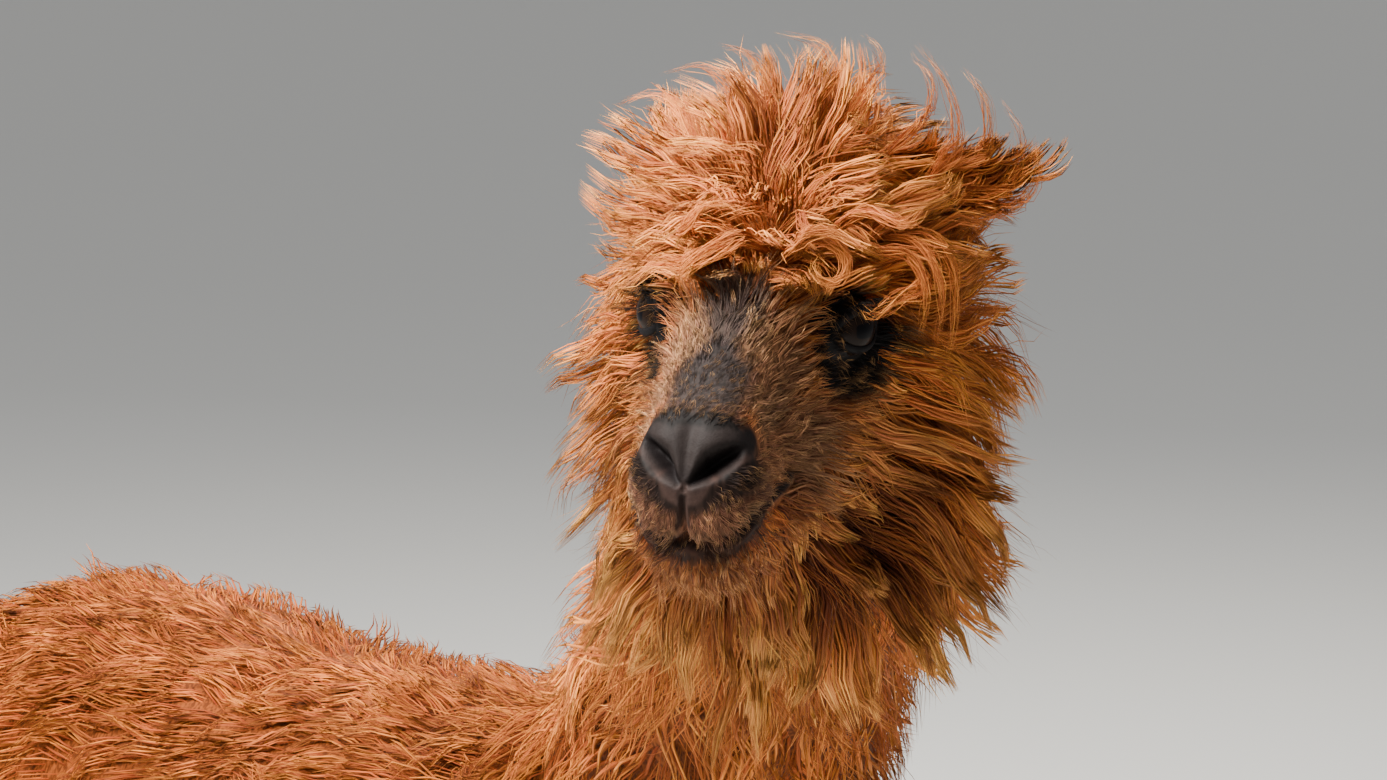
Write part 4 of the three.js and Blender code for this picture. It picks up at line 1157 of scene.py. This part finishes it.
singleLocks = [
    {"thick": 3.8, "strands": 50, "spiral": ([44, 53, 45], [0.80, 0.45, 0.40], 16, 1.1),
     "line": [[-20, 26, 60], [20, 32, 70], [38, 40, 60]]},
    {"thick": 7, "strands": 91,
     "line": [[14, 22, 40], [34, 34, 52], [43, 42, 63], [44, 57, 65], [35, 73, 55]]},
    {"thick": 6, "strands": 66,
     "line": [[0, -34, 50], [40, -30, 60], [47, -20, 74], [44, -6, 78], [33, 2, 68]]},
    {"thick": 8, "strands": 91,
     "line": [[10, 14, 45], [34, 2, 56], [46, -6, 54], [50, -20, 45], [47, -31, 31], [40, -22, 19]]},
    {"thick": 8, "strands": 91,
     "line": [[20, -10, 44], [38, -22, 44], [44, -30, 40], [42, -46, 40], [28, -64, 25], [4, -90, 11]]},
    {"thick": 7, "strands": 62,
     "line": [[-50, 66, 34], [-36, 92, 27], [-18, 93, 21], [0, 86, 20], [17, 76, 13], [27, 68, 20]]},
    {"thick": 6, "strands": 62,
     "line": [[-44, 66, 46], [-38, 88, 46], [-30, 102, 32], [-27, 106, 8], [-30, 101, -22]]},
    {"thick": 7, "strands": 66,
     "line": [[-54, 70, 46], [-50, 94, 48], [-44, 109, 29], [-40, 111, 0], [-41, 107, -28]]},
    {"thick": 5, "strands": 49,
     "line": [[-20, 60, 42], [-24, 84, 42], [-19, 96, 30], [-17, 98, 14], [-22, 95, -10]]},
    {"thick": 7, "strands": 66,
     "line": [[-10, 46, 56], [8, 68, 72], [10, 90, 66], [-6, 101, 76]]},
]
wisps = [
    [[-60, 90, 79], [-70, 102, 102], [-75, 94, 133], [-75, 75, 158]],
    [[-70, 99, 84], [-80, 118, 95], [-85, 116, 124], [-85, 100, 145]],
    [[-80, 107, 71], [-90, 132, 73], [-95, 137, 100], [-95, 123, 126]],
    [[-80, 113, 62], [-90, 138, 62], [-95, 148, 83], [-95, 141, 106]],
    [[-60, 10, 106], [-70, 25, 134], [-75, 18, 152], [-75, -13, 160]],
    [[-60, 34, 107], [-70, 50, 130], [-75, 54, 148], [-75, 42, 161]],
    [[-50, -24, 99], [-60, -33, 126], [-65, -53, 137], [-65, -81, 131]],
    [[-50, -48, 92], [-60, -64, 113], [-65, -84, 118], [-65, -109, 109]],
    [[-80, 104, 55], [-85, 121, 56], [-90, 138, 65], [-95, 148, 83]],
    [[-80, 98, 64], [-85, 121, 68], [-90, 134, 80], [-95, 139, 94]],
    [[-70, 60, 90], [-74, 82, 112], [-78, 84, 134], [-80, 70, 150]],
    [[-60, -10, 100], [-64, -10, 128], [-66, -24, 146], [-66, -46, 150]],
]
singleLocks += [{"line": line, "thick": 8, "strands": 34} for line in wisps]
lockHair = {**fineHair, "rings": 9, "radius": 0.36, "flat": 0.6, "frizz": 3.4, "lay": 0.35,
            "name": "fleece_locks", "seed": 131}


# The lock's middle line; a spiral's radius shrinks to a fifth while it turns in the plane it faces
def lockLine(lock, count):
    line = np.array(lock["line"], float)
    if "spiral" in lock:
        centre, facing, radius, turns = lock["spiral"]
        facing = unit(np.array(facing, float))
        across = unit(np.cross([0, 0, 1.0], facing))
        up = np.cross(facing, across)
        first = line[-1] - centre
        t = np.linspace(0.08, 1, 16)
        angle = np.arctan2(first @ up, first @ across) - 2 * np.pi * turns * t
        size = (radius * (1 - 0.8 * t))[:, None]
        circle = np.cos(angle)[:, None] * across + np.sin(angle)[:, None] * up
        line = np.concatenate([line, centre + size * circle + 4 * t[:, None] * facing])
    return curve(line, np.linspace(0, 1, count))[0]


# Strands beside the middle line, spread over a disc that narrows to half at the tip. Each ends at its own
# share of the length and strays by two slow sine waves.
def lockStrands(lock, setup, seed):
    rng = np.random.default_rng(seed)
    count, rings = lock["strands"], setup["rings"]
    line = lockLine(lock, 60)
    along = unit(np.gradient(line, axis=0))
    away = unit(line - [-40, 0, -60])
    side = unit(np.cross(along, away))
    away = np.cross(side, along)
    t = np.linspace(0, 1, rings + 1)[None, :] * rng.uniform(0.25, 1.0, (count, 1)) ** 0.85
    index = t * 59
    low = np.minimum(index.astype(int), 58)
    part = (index - low)[..., None]

    def at(values):
        return values[low] * (1 - part) + values[low + 1] * part

    angle, reach = rng.uniform(0, 6.28, (count, 1)), np.sqrt(rng.random((count, 1))) * lock["thick"]
    reach = reach * (0.45 + 0.55 * smooth(t, 0, 0.25)) * (1 - 0.85 * t**1.4)
    wave = [rng.uniform(0.8, 2.2, (count, 1)) * t + rng.random((count, 1)) for _ in range(2)]
    stray = setup["frizz"] * np.sin(2 * np.pi * np.array(wave)) * (0.4 + 0.4 * t)
    path = at(line) + (np.cos(angle) * reach + stray[0])[..., None] * at(side)
    path = path + (0.6 * np.sin(angle) * reach + 0.7 * stray[1])[..., None] * at(away)
    # Strands at a lock's sides get a larger lock value, which lights them and turns their tips golden: a
    # painted highlight along the lock's edges
    edgeHighlight = np.abs(np.cos(angle[:, 0])) * (reach[:, 2] / reach[:, 2].max()) ** 2
    return path, np.broadcast_to(away[40], (count, 3)), edgeHighlight


# All single locks as one piece, in the head's ground colour, with a painted highlight along each lock's
# edges
def singleLockPiece(locks, setup):
    made = [lockStrands(lock, setup, setup["seed"] + k) for k, lock in enumerate(locks)]
    paths, normals, edgeHighlights = (np.concatenate(parts) for parts in zip(*made))
    paths, normals = headToModel(paths), normals @ headTurn.T
    rng = np.random.default_rng(setup["seed"])
    values = {"tone": rng.random(len(paths)), "lock": edgeHighlights}
    radius = setup["radius"] * rng.uniform(0.6, 1.3, len(paths))
    orange = np.tile(ground["head"], (len(paths), 1))
    onMap = chart(paths[:, 0], "head")
    piece = strandMesh(setup["name"], paths, normals, radius, setup, values, orange, onMap)
    print(setup["name"], len(piece.data.polygons), "triangles")
    return piece


coats.append(singleLockPiece(singleLocks, lockHair))

lashHair = {**fineHair, "name": "lashes", "rings": 6, "radius": 0.26, "flat": 0.9, "each": 64, "long": 27,
            "seed": 151, "colour": (0.02, 0.014, 0.012)}


# Lashes along the upper lid, out and down: start fades into tip as in the coat
def lashPiece(setup):
    rng = np.random.default_rng(setup["seed"])
    paths, normals = [], []
    t = np.linspace(0, 1, setup["rings"] + 1)[None, :, None]
    for side in (1, -1):
        centre, out, forward, up = eyeFrame(side)
        across = np.radians(rng.uniform(-52, 50, setup["each"]))
        halfLength = np.radians(eyeSocket["halfLength"])
        high = np.radians(eyeSocket["upper"] + 2) * np.sqrt(1 - (across / halfLength) ** 2)
        level = np.cos(across)[:, None] * out + np.sin(across)[:, None] * forward
        spoke = np.cos(high)[:, None] * level + np.sin(high)[:, None] * up
        start = unit(spoke * 1.0 + up * 0.15 + rng.normal(size=spoke.shape) * 0.08)
        tip = unit(spoke * 0.35 - up * 0.9 - forward * 0.25 + rng.normal(size=spoke.shape) * 0.14)
        length = (setup["long"] * rng.uniform(0.6, 1.1, setup["each"]))[:, None, None]
        root = centre + spoke * (eye["radius"] + 1.5)
        paths.append(root[:, None] + length * (start[:, None] * (t - t**2 / 2) + tip[:, None] * (t**2 / 2)))
        normals.append(spoke)
    paths, normals = headToModel(np.concatenate(paths)), np.concatenate(normals) @ headTurn.T
    values = {"tone": rng.random(len(paths)), "lock": np.zeros(len(paths))}
    radius, colours = np.full(len(paths), setup["radius"]), np.tile(setup["colour"], (len(paths), 1))
    onMap = chart(paths[:, 0], "head")
    return strandMesh(setup["name"], paths, normals, radius, setup, values, colours, onMap)


coats.append(lashPiece(lashHair))
print("coat made:", len(coats), "pieces")


# Materials

# A Principled material with constant values set on its own sockets
def newMaterial(name, **values):
    material = bpy.data.materials.new(name)
    material.use_nodes = True
    shader = material.node_tree.nodes["Principled BSDF"]
    for key, value in values.items():
        shader.inputs[key.replace("_", " ")].default_value = value
    return material, material.node_tree, shader


# A node; a setting whose name starts with a capital is an input's value, any other one is the node's own
def node(tree, kind, **settings):
    made = tree.nodes.new(kind)
    for key, value in settings.items():
        if key[0].isupper():
            made.inputs[key].default_value = value
        else:
            setattr(made, key, value)
    return made


# Links a socket to a socket, or sets a fixed number or colour on it
def feed(tree, value, socket):
    if isinstance(value, bpy.types.NodeSocket):
        tree.links.new(value, socket)
    else:
        socket.default_value = (*value, 1) if isinstance(value, tuple) else value


def maths(tree, operation, *values):
    made = node(tree, "ShaderNodeMath", operation=operation)
    for value, socket in zip(values, made.inputs):
        feed(tree, value, socket)
    return made.outputs[0]


def times(tree, first, *others):
    for other in others:
        first = maths(tree, "MULTIPLY", first, other)
    return first


# A colour mix; each of share, first and second is a socket or a fixed value
def mixed(tree, blend, share, first, second):
    made = node(tree, "ShaderNodeMix", data_type="RGBA", blend_type=blend, clamp_factor=True)
    for value, index in ((share, 0), (first, 6), (second, 7)):
        feed(tree, value, made.inputs[index])
    return made.outputs[2]


# The value's range low to high turned smoothly into toLow to toHigh
def ranged(tree, value, low, high, toLow=0.0, toHigh=1.0):
    made = node(tree, "ShaderNodeMapRange", interpolation_type="SMOOTHSTEP")
    for value, socket in zip((value, low, high, toLow, toHigh), made.inputs):
        feed(tree, value, socket)
    return made.outputs[0]


def noise(tree, place, **settings):
    made = node(tree, "ShaderNodeTexNoise", **settings)
    tree.links.new(place, made.inputs["Vector"])
    return made.outputs[0]


# Object coordinates, scaled by different amounts along x, y and z
def stretched(tree, scale):
    made = node(tree, "ShaderNodeMapping", Scale=scale)
    tree.links.new(objectPlace(tree), made.inputs["Vector"])
    return made.outputs[0]


def objectPlace(tree):
    return node(tree, "ShaderNodeTexCoord").outputs["Object"]


# The normal bent by a height
def bumped(tree, height, strength, distance, normal=None):
    made = node(tree, "ShaderNodeBump", Strength=strength, Distance=distance)
    tree.links.new(height, made.inputs["Height"])
    if normal is not None:
        tree.links.new(normal, made.inputs["Normal"])
    return made.outputs[0]


def attribute(tree, name, output="Fac"):
    return node(tree, "ShaderNodeAttribute", attribute_name=name).outputs[output]


# A shader node group with named sockets; inputs are (name, type, default)
def newGroup(name, inputs, outputs):
    group = bpy.data.node_groups.new(name, "ShaderNodeTree")
    for label, kind, default in inputs:
        group.interface.new_socket(label, in_out="INPUT", socket_type=kind).default_value = default
    for label, kind in outputs:
        group.interface.new_socket(label, in_out="OUTPUT", socket_type=kind)
    return group, node(group, "NodeGroupInput"), node(group, "NodeGroupOutput")


# Painted shade at the roots, the marking's colour, then golden tips, which are partly the fleece's paler
# tips and partly painted light, and each hair a little lighter or darker. Its value is a factor of the
# hair's tone, times one of its lock, times a coarse noise, times streaks: a noise along the hair and across
# it that is another one on each hair.
def hairColourGroup():
    group, given, result = newGroup("hairColour", [
        ("Marking", "NodeSocketColor", (0.5, 0.2, 0.06, 1)),
        ("Along", "NodeSocketFloat", 0.5),
        ("Tone", "NodeSocketFloat", 0.5),
        ("Lock", "NodeSocketFloat", 0.5),
        ("Across", "NodeSocketFloat", 0.0),
        ("Streaks", "NodeSocketFloat", 2.5),
        ("Root shade", "NodeSocketColor", (0.2, 0.12, 0.1, 1)),
        ("Root reach", "NodeSocketFloat", 0.4),
        ("Tip colour", "NodeSocketColor", (0.85, 0.52, 0.24, 1)),
        ("Tip share", "NodeSocketFloat", 0.5),
    ], [("Colour", "NodeSocketColor"), ("Streak", "NodeSocketFloat")])
    marking, along, tone, lock = (given.outputs[name] for name in ("Marking", "Along", "Tone", "Lock"))
    # Painted shade deep in the coat, at the roots
    root = mixed(group, "MULTIPLY", 1.0, marking, given.outputs["Root shade"])
    # Golden tips: partly the fleece's paler tips, partly painted light
    tip = mixed(group, "MIX", 0.6, marking, given.outputs["Tip colour"])
    colour = mixed(group, "MIX", ranged(group, along, 0.0, given.outputs["Root reach"]), root, marking)
    tipShare = times(group, ranged(group, along, 0.45, 1.0), ranged(group, lock, 0.1, 0.9, 0.25, 1.3),
                     given.outputs["Tip share"])
    colour = mixed(group, "MIX", tipShare, colour, tip)
    apart = times(group, tone, 90.0)
    place = node(group, "ShaderNodeCombineXYZ")
    wide = maths(group, "MULTIPLY_ADD", given.outputs["Across"], given.outputs["Streaks"], apart)
    for value, socket in zip((wide, along, apart), place.inputs):
        group.links.new(value, socket)
    streak = noise(group, place.outputs[0], Scale=1.6, Detail=2.0)
    patchy = noise(group, objectPlace(group), Scale=11.0, Detail=3.0)
    value = times(group, ranged(group, tone, 0, 1, 0.72, 1.25), ranged(group, lock, 0, 1, 0.75, 1.2),
                  ranged(group, patchy, 0.35, 0.65, 0.85, 1.15), ranged(group, streak, 0.3, 0.7, 0.55, 1.4))
    scaled = node(group, "ShaderNodeHueSaturation")
    group.links.new(value, scaled.inputs["Value"])
    group.links.new(ranged(group, tone, 0, 1, 0.492, 0.508), scaled.inputs["Hue"])
    group.links.new(colour, scaled.inputs["Color"])
    group.links.new(scaled.outputs[0], result.inputs["Colour"])
    group.links.new(streak, result.inputs["Streak"])
    return group


hairColour = hairColourGroup()
# Each finish darkens the roots as painted shade, deepest in the beard, and turns the tips golden, partly as
# painted light; own is the share of the strand's own normal in the shading
coatFinishes = {
    "fleece": {"Root shade": (0.72, 0.58, 0.54, 1), "Root reach": 0.35, "Tip share": 0.8, "Streaks": 4.0,
               "Tip colour": (0.93, 0.39, 0.085, 1), "own": 0.4},
    "beard": {"Root shade": (0.10, 0.045, 0.035, 1), "Root reach": 0.85, "Tip share": 1.3, "Streaks": 4.0,
              "Tip colour": (0.97, 0.47, 0.12, 1), "own": 0.4},
    "neck": {"Root shade": (0.6, 0.48, 0.44, 1), "Root reach": 0.4, "Tip share": 0.35, "Streaks": 4.0,
             "Tip colour": (0.90, 0.36, 0.08, 1), "own": 0.25},
    "body": {"Root shade": (0.5, 0.36, 0.3, 1), "Root reach": 0.6, "Tip share": 0.35, "Streaks": 5.0,
             "Tip colour": (0.74, 0.23, 0.045, 1), "own": 0.2},
    "face": {"Root shade": (0.45, 0.36, 0.33, 1), "Root reach": 0.6, "Tip share": 0.7, "Streaks": 1.5,
             "Tip colour": (0.85, 0.44, 0.17, 1), "own": 0.35},
}


# The hair's colour, shaded by the way the coat lies: the skin's normal under the root plus a share (own) of
# the strand's own, with a fine bump from the streaks
def coatMaterial(name, finish):
    material, tree, shader = newMaterial(name, Roughness=0.6, Specular_IOR_Level=0.10)
    shades = node(tree, "ShaderNodeGroup", node_tree=hairColour)
    tree.links.new(attribute(tree, "marking", "Color"), shades.inputs["Marking"])
    for label in ("Along", "Tone", "Lock", "Across"):
        tree.links.new(attribute(tree, label.lower()), shades.inputs[label])
    for label, value in finish.items():
        if label != "own":
            shades.inputs[label].default_value = value
    tree.links.new(shades.outputs["Colour"], shader.inputs["Base Color"])
    own = node(tree, "ShaderNodeVectorMath", operation="SCALE", Scale=finish["own"])
    tree.links.new(node(tree, "ShaderNodeNewGeometry").outputs["Normal"], own.inputs[0])
    blend = node(tree, "ShaderNodeVectorMath", operation="ADD")
    tree.links.new(own.outputs[0], blend.inputs[0])
    tree.links.new(attribute(tree, "lay", "Vector"), blend.inputs[1])
    together = node(tree, "ShaderNodeVectorMath", operation="NORMALIZE")
    tree.links.new(blend.outputs[0], together.inputs[0])
    bump = bumped(tree, shades.outputs["Streak"], 0.6, 0.0006, together.outputs[0])
    tree.links.new(bump, shader.inputs["Normal"])
    return material


# Under the coat, between the hairs and in the hollows the skin's colour is darkened as painted shade; the
# mottle is the skin's own blotching
skinFinish = {"underCoat": (0.42, 0.40, 0.36), "shadeBetweenHairs": (0.42, 0.40, 0.38),
              "mottle": (0.55, 0.5, 0.48), "mottleShare": 0.35, "hollow": (0.006, 0.004, 0.004),
              "pebbles": 900.0, "bump": 0.0004}


# The marking, with painted shade under the coat and in the hollows of the nostrils and the mouth's line,
# and strand-like streaks where hair covers it, darker between the hairs as painted shade, and fine pebbles
# where it is bare
def skinMaterial(finish):
    material, tree, shader = newMaterial("skin", Roughness=0.62, Specular_IOR_Level=0.10)
    marking, bare = attribute(tree, "marking", "Color"), attribute(tree, "bare")
    # Painted shade where the coat covers the skin
    shadedUnderCoat = mixed(tree, "MULTIPLY", 1.0, marking, finish["underCoat"])
    colour = mixed(tree, "MIX", bare, shadedUnderCoat, marking)
    blotches = ranged(tree, noise(tree, objectPlace(tree), Scale=260.0, Detail=4.0), 0.4, 0.62, 0,
                      finish["mottleShare"])
    colour = mixed(tree, "MULTIPLY", blotches, colour, finish["mottle"])
    strands = noise(tree, stretched(tree, (420, 420, 90)), Scale=1.0, Detail=3.0, Lacunarity=0.8)
    # Darker streaks between the hairs, as painted shade
    furred = mixed(tree, "MULTIPLY", ranged(tree, strands, 0.38, 0.62), colour, finish["shadeBetweenHairs"])
    colour = mixed(tree, "MIX", bare, furred, colour)
    # Painted shade deep in the nostrils and along the mouth's line
    colour = mixed(tree, "MIX", attribute(tree, "hollow"), colour, finish["hollow"])
    tree.links.new(colour, shader.inputs["Base Color"])
    pebbles = node(tree, "ShaderNodeTexVoronoi", Scale=finish["pebbles"])
    tree.links.new(objectPlace(tree), pebbles.inputs["Vector"])
    height = node(tree, "ShaderNodeMix", data_type="FLOAT")
    for value, index in ((bare, 0), (strands, 2), (pebbles.outputs[0], 3)):
        tree.links.new(value, height.inputs[index])
    tree.links.new(bumped(tree, height.outputs[0], 0.25, finish["bump"]), shader.inputs["Normal"])
    return material


eyeFinish = {"iris": (0.012, 0.007, 0.005), "pupil": (0.002, 0.002, 0.003), "pupilHalfWidth": 0.42,
             "pupilHalfHeight": 0.24}


# A nearly black brown iris round a level oblong pupil, under a wet clear coat. The pupil is where the
# fourth powers of the places across and upward, over its half width and half height, add up to less than 1.
def eyeMaterial(finish):
    material, tree, shader = newMaterial("eye", Roughness=0.3, Specular_IOR_Level=0.05, Coat_Weight=0.06,
                                         Coat_Roughness=0.03)
    wide = maths(tree, "DIVIDE", attribute(tree, "across"), finish["pupilHalfWidth"])
    tall = maths(tree, "DIVIDE", attribute(tree, "upward"), finish["pupilHalfHeight"])
    box = maths(tree, "ADD", maths(tree, "POWER", wide, 4.0), maths(tree, "POWER", tall, 4.0))
    colour = mixed(tree, "MIX", ranged(tree, box, 0.8, 1.2), finish["pupil"], finish["iris"])
    tree.links.new(colour, shader.inputs["Base Color"])
    return material


nailFinish = {"dark": (0.035, 0.026, 0.020), "pale": (0.12, 0.085, 0.06), "bump": 0.0004}


# Dark horn with streaks: noise stretched along the nail's height
def nailMaterial(finish):
    material, tree, shader = newMaterial("nail", Roughness=0.42, Specular_IOR_Level=0.4)
    streaks = noise(tree, stretched(tree, (1.0, 1.0, 0.12)), Scale=420.0, Detail=4.0)
    colour = mixed(tree, "MIX", ranged(tree, streaks, 0.35, 0.65), finish["dark"], finish["pale"])
    tree.links.new(colour, shader.inputs["Base Color"])
    tree.links.new(bumped(tree, streaks, 0.4, finish["bump"]), shader.inputs["Normal"])
    return material


cornea = {"height": 1.2, "reach": 0.75}


# A sphere with a low second curve for the cornea: its height times a bell curve of the angle from the axis
def eyeball(name, side, paint):
    centre, out, forward, up = eyeFrame(side)
    angle = np.radians(np.linspace(3, 177, 60))
    turn = 2 * np.pi * np.arange(72) / 72
    radius = eye["radius"] + cornea["height"] * np.exp(-(angle / cornea["reach"]) ** 4)
    sides = np.cos(turn)[None, :, None] * forward + np.sin(turn)[None, :, None] * up
    spoke = np.cos(angle)[:, None, None] * out + np.sin(angle)[:, None, None] * sides
    front, back = centre + out * (eye["radius"] + cornea["height"]), centre - out * eye["radius"]
    points, triangles = closeTube(centre + spoke * radius[:, None, None], front, back)
    offset = (points - centre) / eye["radius"]
    values = {"across": offset @ forward, "upward": offset @ up}
    ball = makeMesh(name, headToModel(points), triangles, values)
    ball.data.materials.append(paint)
    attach(ball, "root")
    return ball


eyePaint = eyeMaterial(eyeFinish)
for word, side in (("left", 1), ("right", -1)):
    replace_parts(eyeball("eyeball_" + word, side, eyePaint), "eye_" + word)
print("eyes made")


# The skin keeps each point's marking, how bare it is, and how deep it lies in a nostril or between the
# lips, where the skin material darkens it as painted shade
def markSkin(mesh):
    inHead = modelToHead(skinPoints)
    left = onLeft(inHead)
    inNostril = 1 - smooth(alongLine(left, np.array(nostril["line"]) - [9, 1, -2])[0], 5.5, 10.5)
    inMouth = 1 - smooth(alongLine(left, np.array(mouth["line"]) - [3.5, 0, 0])[0], 1.8, 3.6)
    keep(mesh, "bare", "FLOAT", bareness(inHead))
    keep(mesh, "hollow", "FLOAT", np.maximum(inNostril, 0.8 * inMouth))
    keep(mesh, "marking", "FLOAT_COLOR", inChunks(marking, skinPoints))


markSkin(skin.data)
skin.data.materials.clear()
skin.data.materials.append(skinMaterial(skinFinish))
skin.data.polygons.foreach_set("use_smooth", np.ones(len(skin.data.polygons), bool))
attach(skin, "root")
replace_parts(skin, *[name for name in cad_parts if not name.startswith("eye") and "nail" not in name])

coatPaints = {name: coatMaterial("coat_" + name, values) for name, values in coatFinishes.items()}
for piece in coats:
    onBody = any(word in piece.name for word in ("trunk", "legs", "tail"))
    kind = "body" if onBody else "face" if piece.name in ("hair_face", "hair_feet", "lashes") else "fleece"
    kind = piece.name.split("_")[1] if piece.name in ("fleece_beard", "fleece_neck") else kind
    piece.data.materials.append(coatPaints[kind])
    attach(piece, "root")
print("skin and coat painted")

# Toenails: the CAD nails' own shape, merged and rounded off
nailPaint = nailMaterial(nailFinish)
for name in [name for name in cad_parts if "nail" in name]:
    nail = makeMesh("horn_" + name, *mergedNode(name))
    rounded = nail.modifiers.new("rounded", "SUBSURF")
    rounded.levels = rounded.render_levels = 2
    nail.data.materials.append(nailPaint)
    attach(nail, "root")
    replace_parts(nail, name)
print("toenails made")

floorSetup = {"rows": [[10, 0], [14, 0.2], [18, 0.9], [22, 2.3], [25, 4.2], [27, 6.5], [28, 9]],
              "sides": 72, "colour": (0.60, 0.60, 0.585, 1), "roughness": 0.8}


# A wide bowl: the rows' distances from the middle and heights, in metres, turned about Z
def makeFloor(setup):
    sides, rings = setup["sides"], len(setup["rows"])
    turn = 2 * np.pi * np.arange(sides) / sides
    away, height = np.array(setup["rows"]).T[..., None] * 1000
    grid = np.stack([away * np.cos(turn), away * np.sin(turn), np.repeat(height, sides, 1)], -1)
    hub = [[rings * sides, k, (k + 1) % sides] for k in range(sides)]
    return makeMesh("floor", np.concatenate([grid.reshape(-1, 3), [[0, 0, 0]]]),
                    np.concatenate([gridTriangles(rings, sides)[:, ::-1], hub]))


floor = makeFloor(floorSetup)
floorPaint, _, _ = newMaterial("floorPaint", Base_Color=floorSetup["colour"],
                               Roughness=floorSetup["roughness"])
floor.data.materials.append(floorPaint)
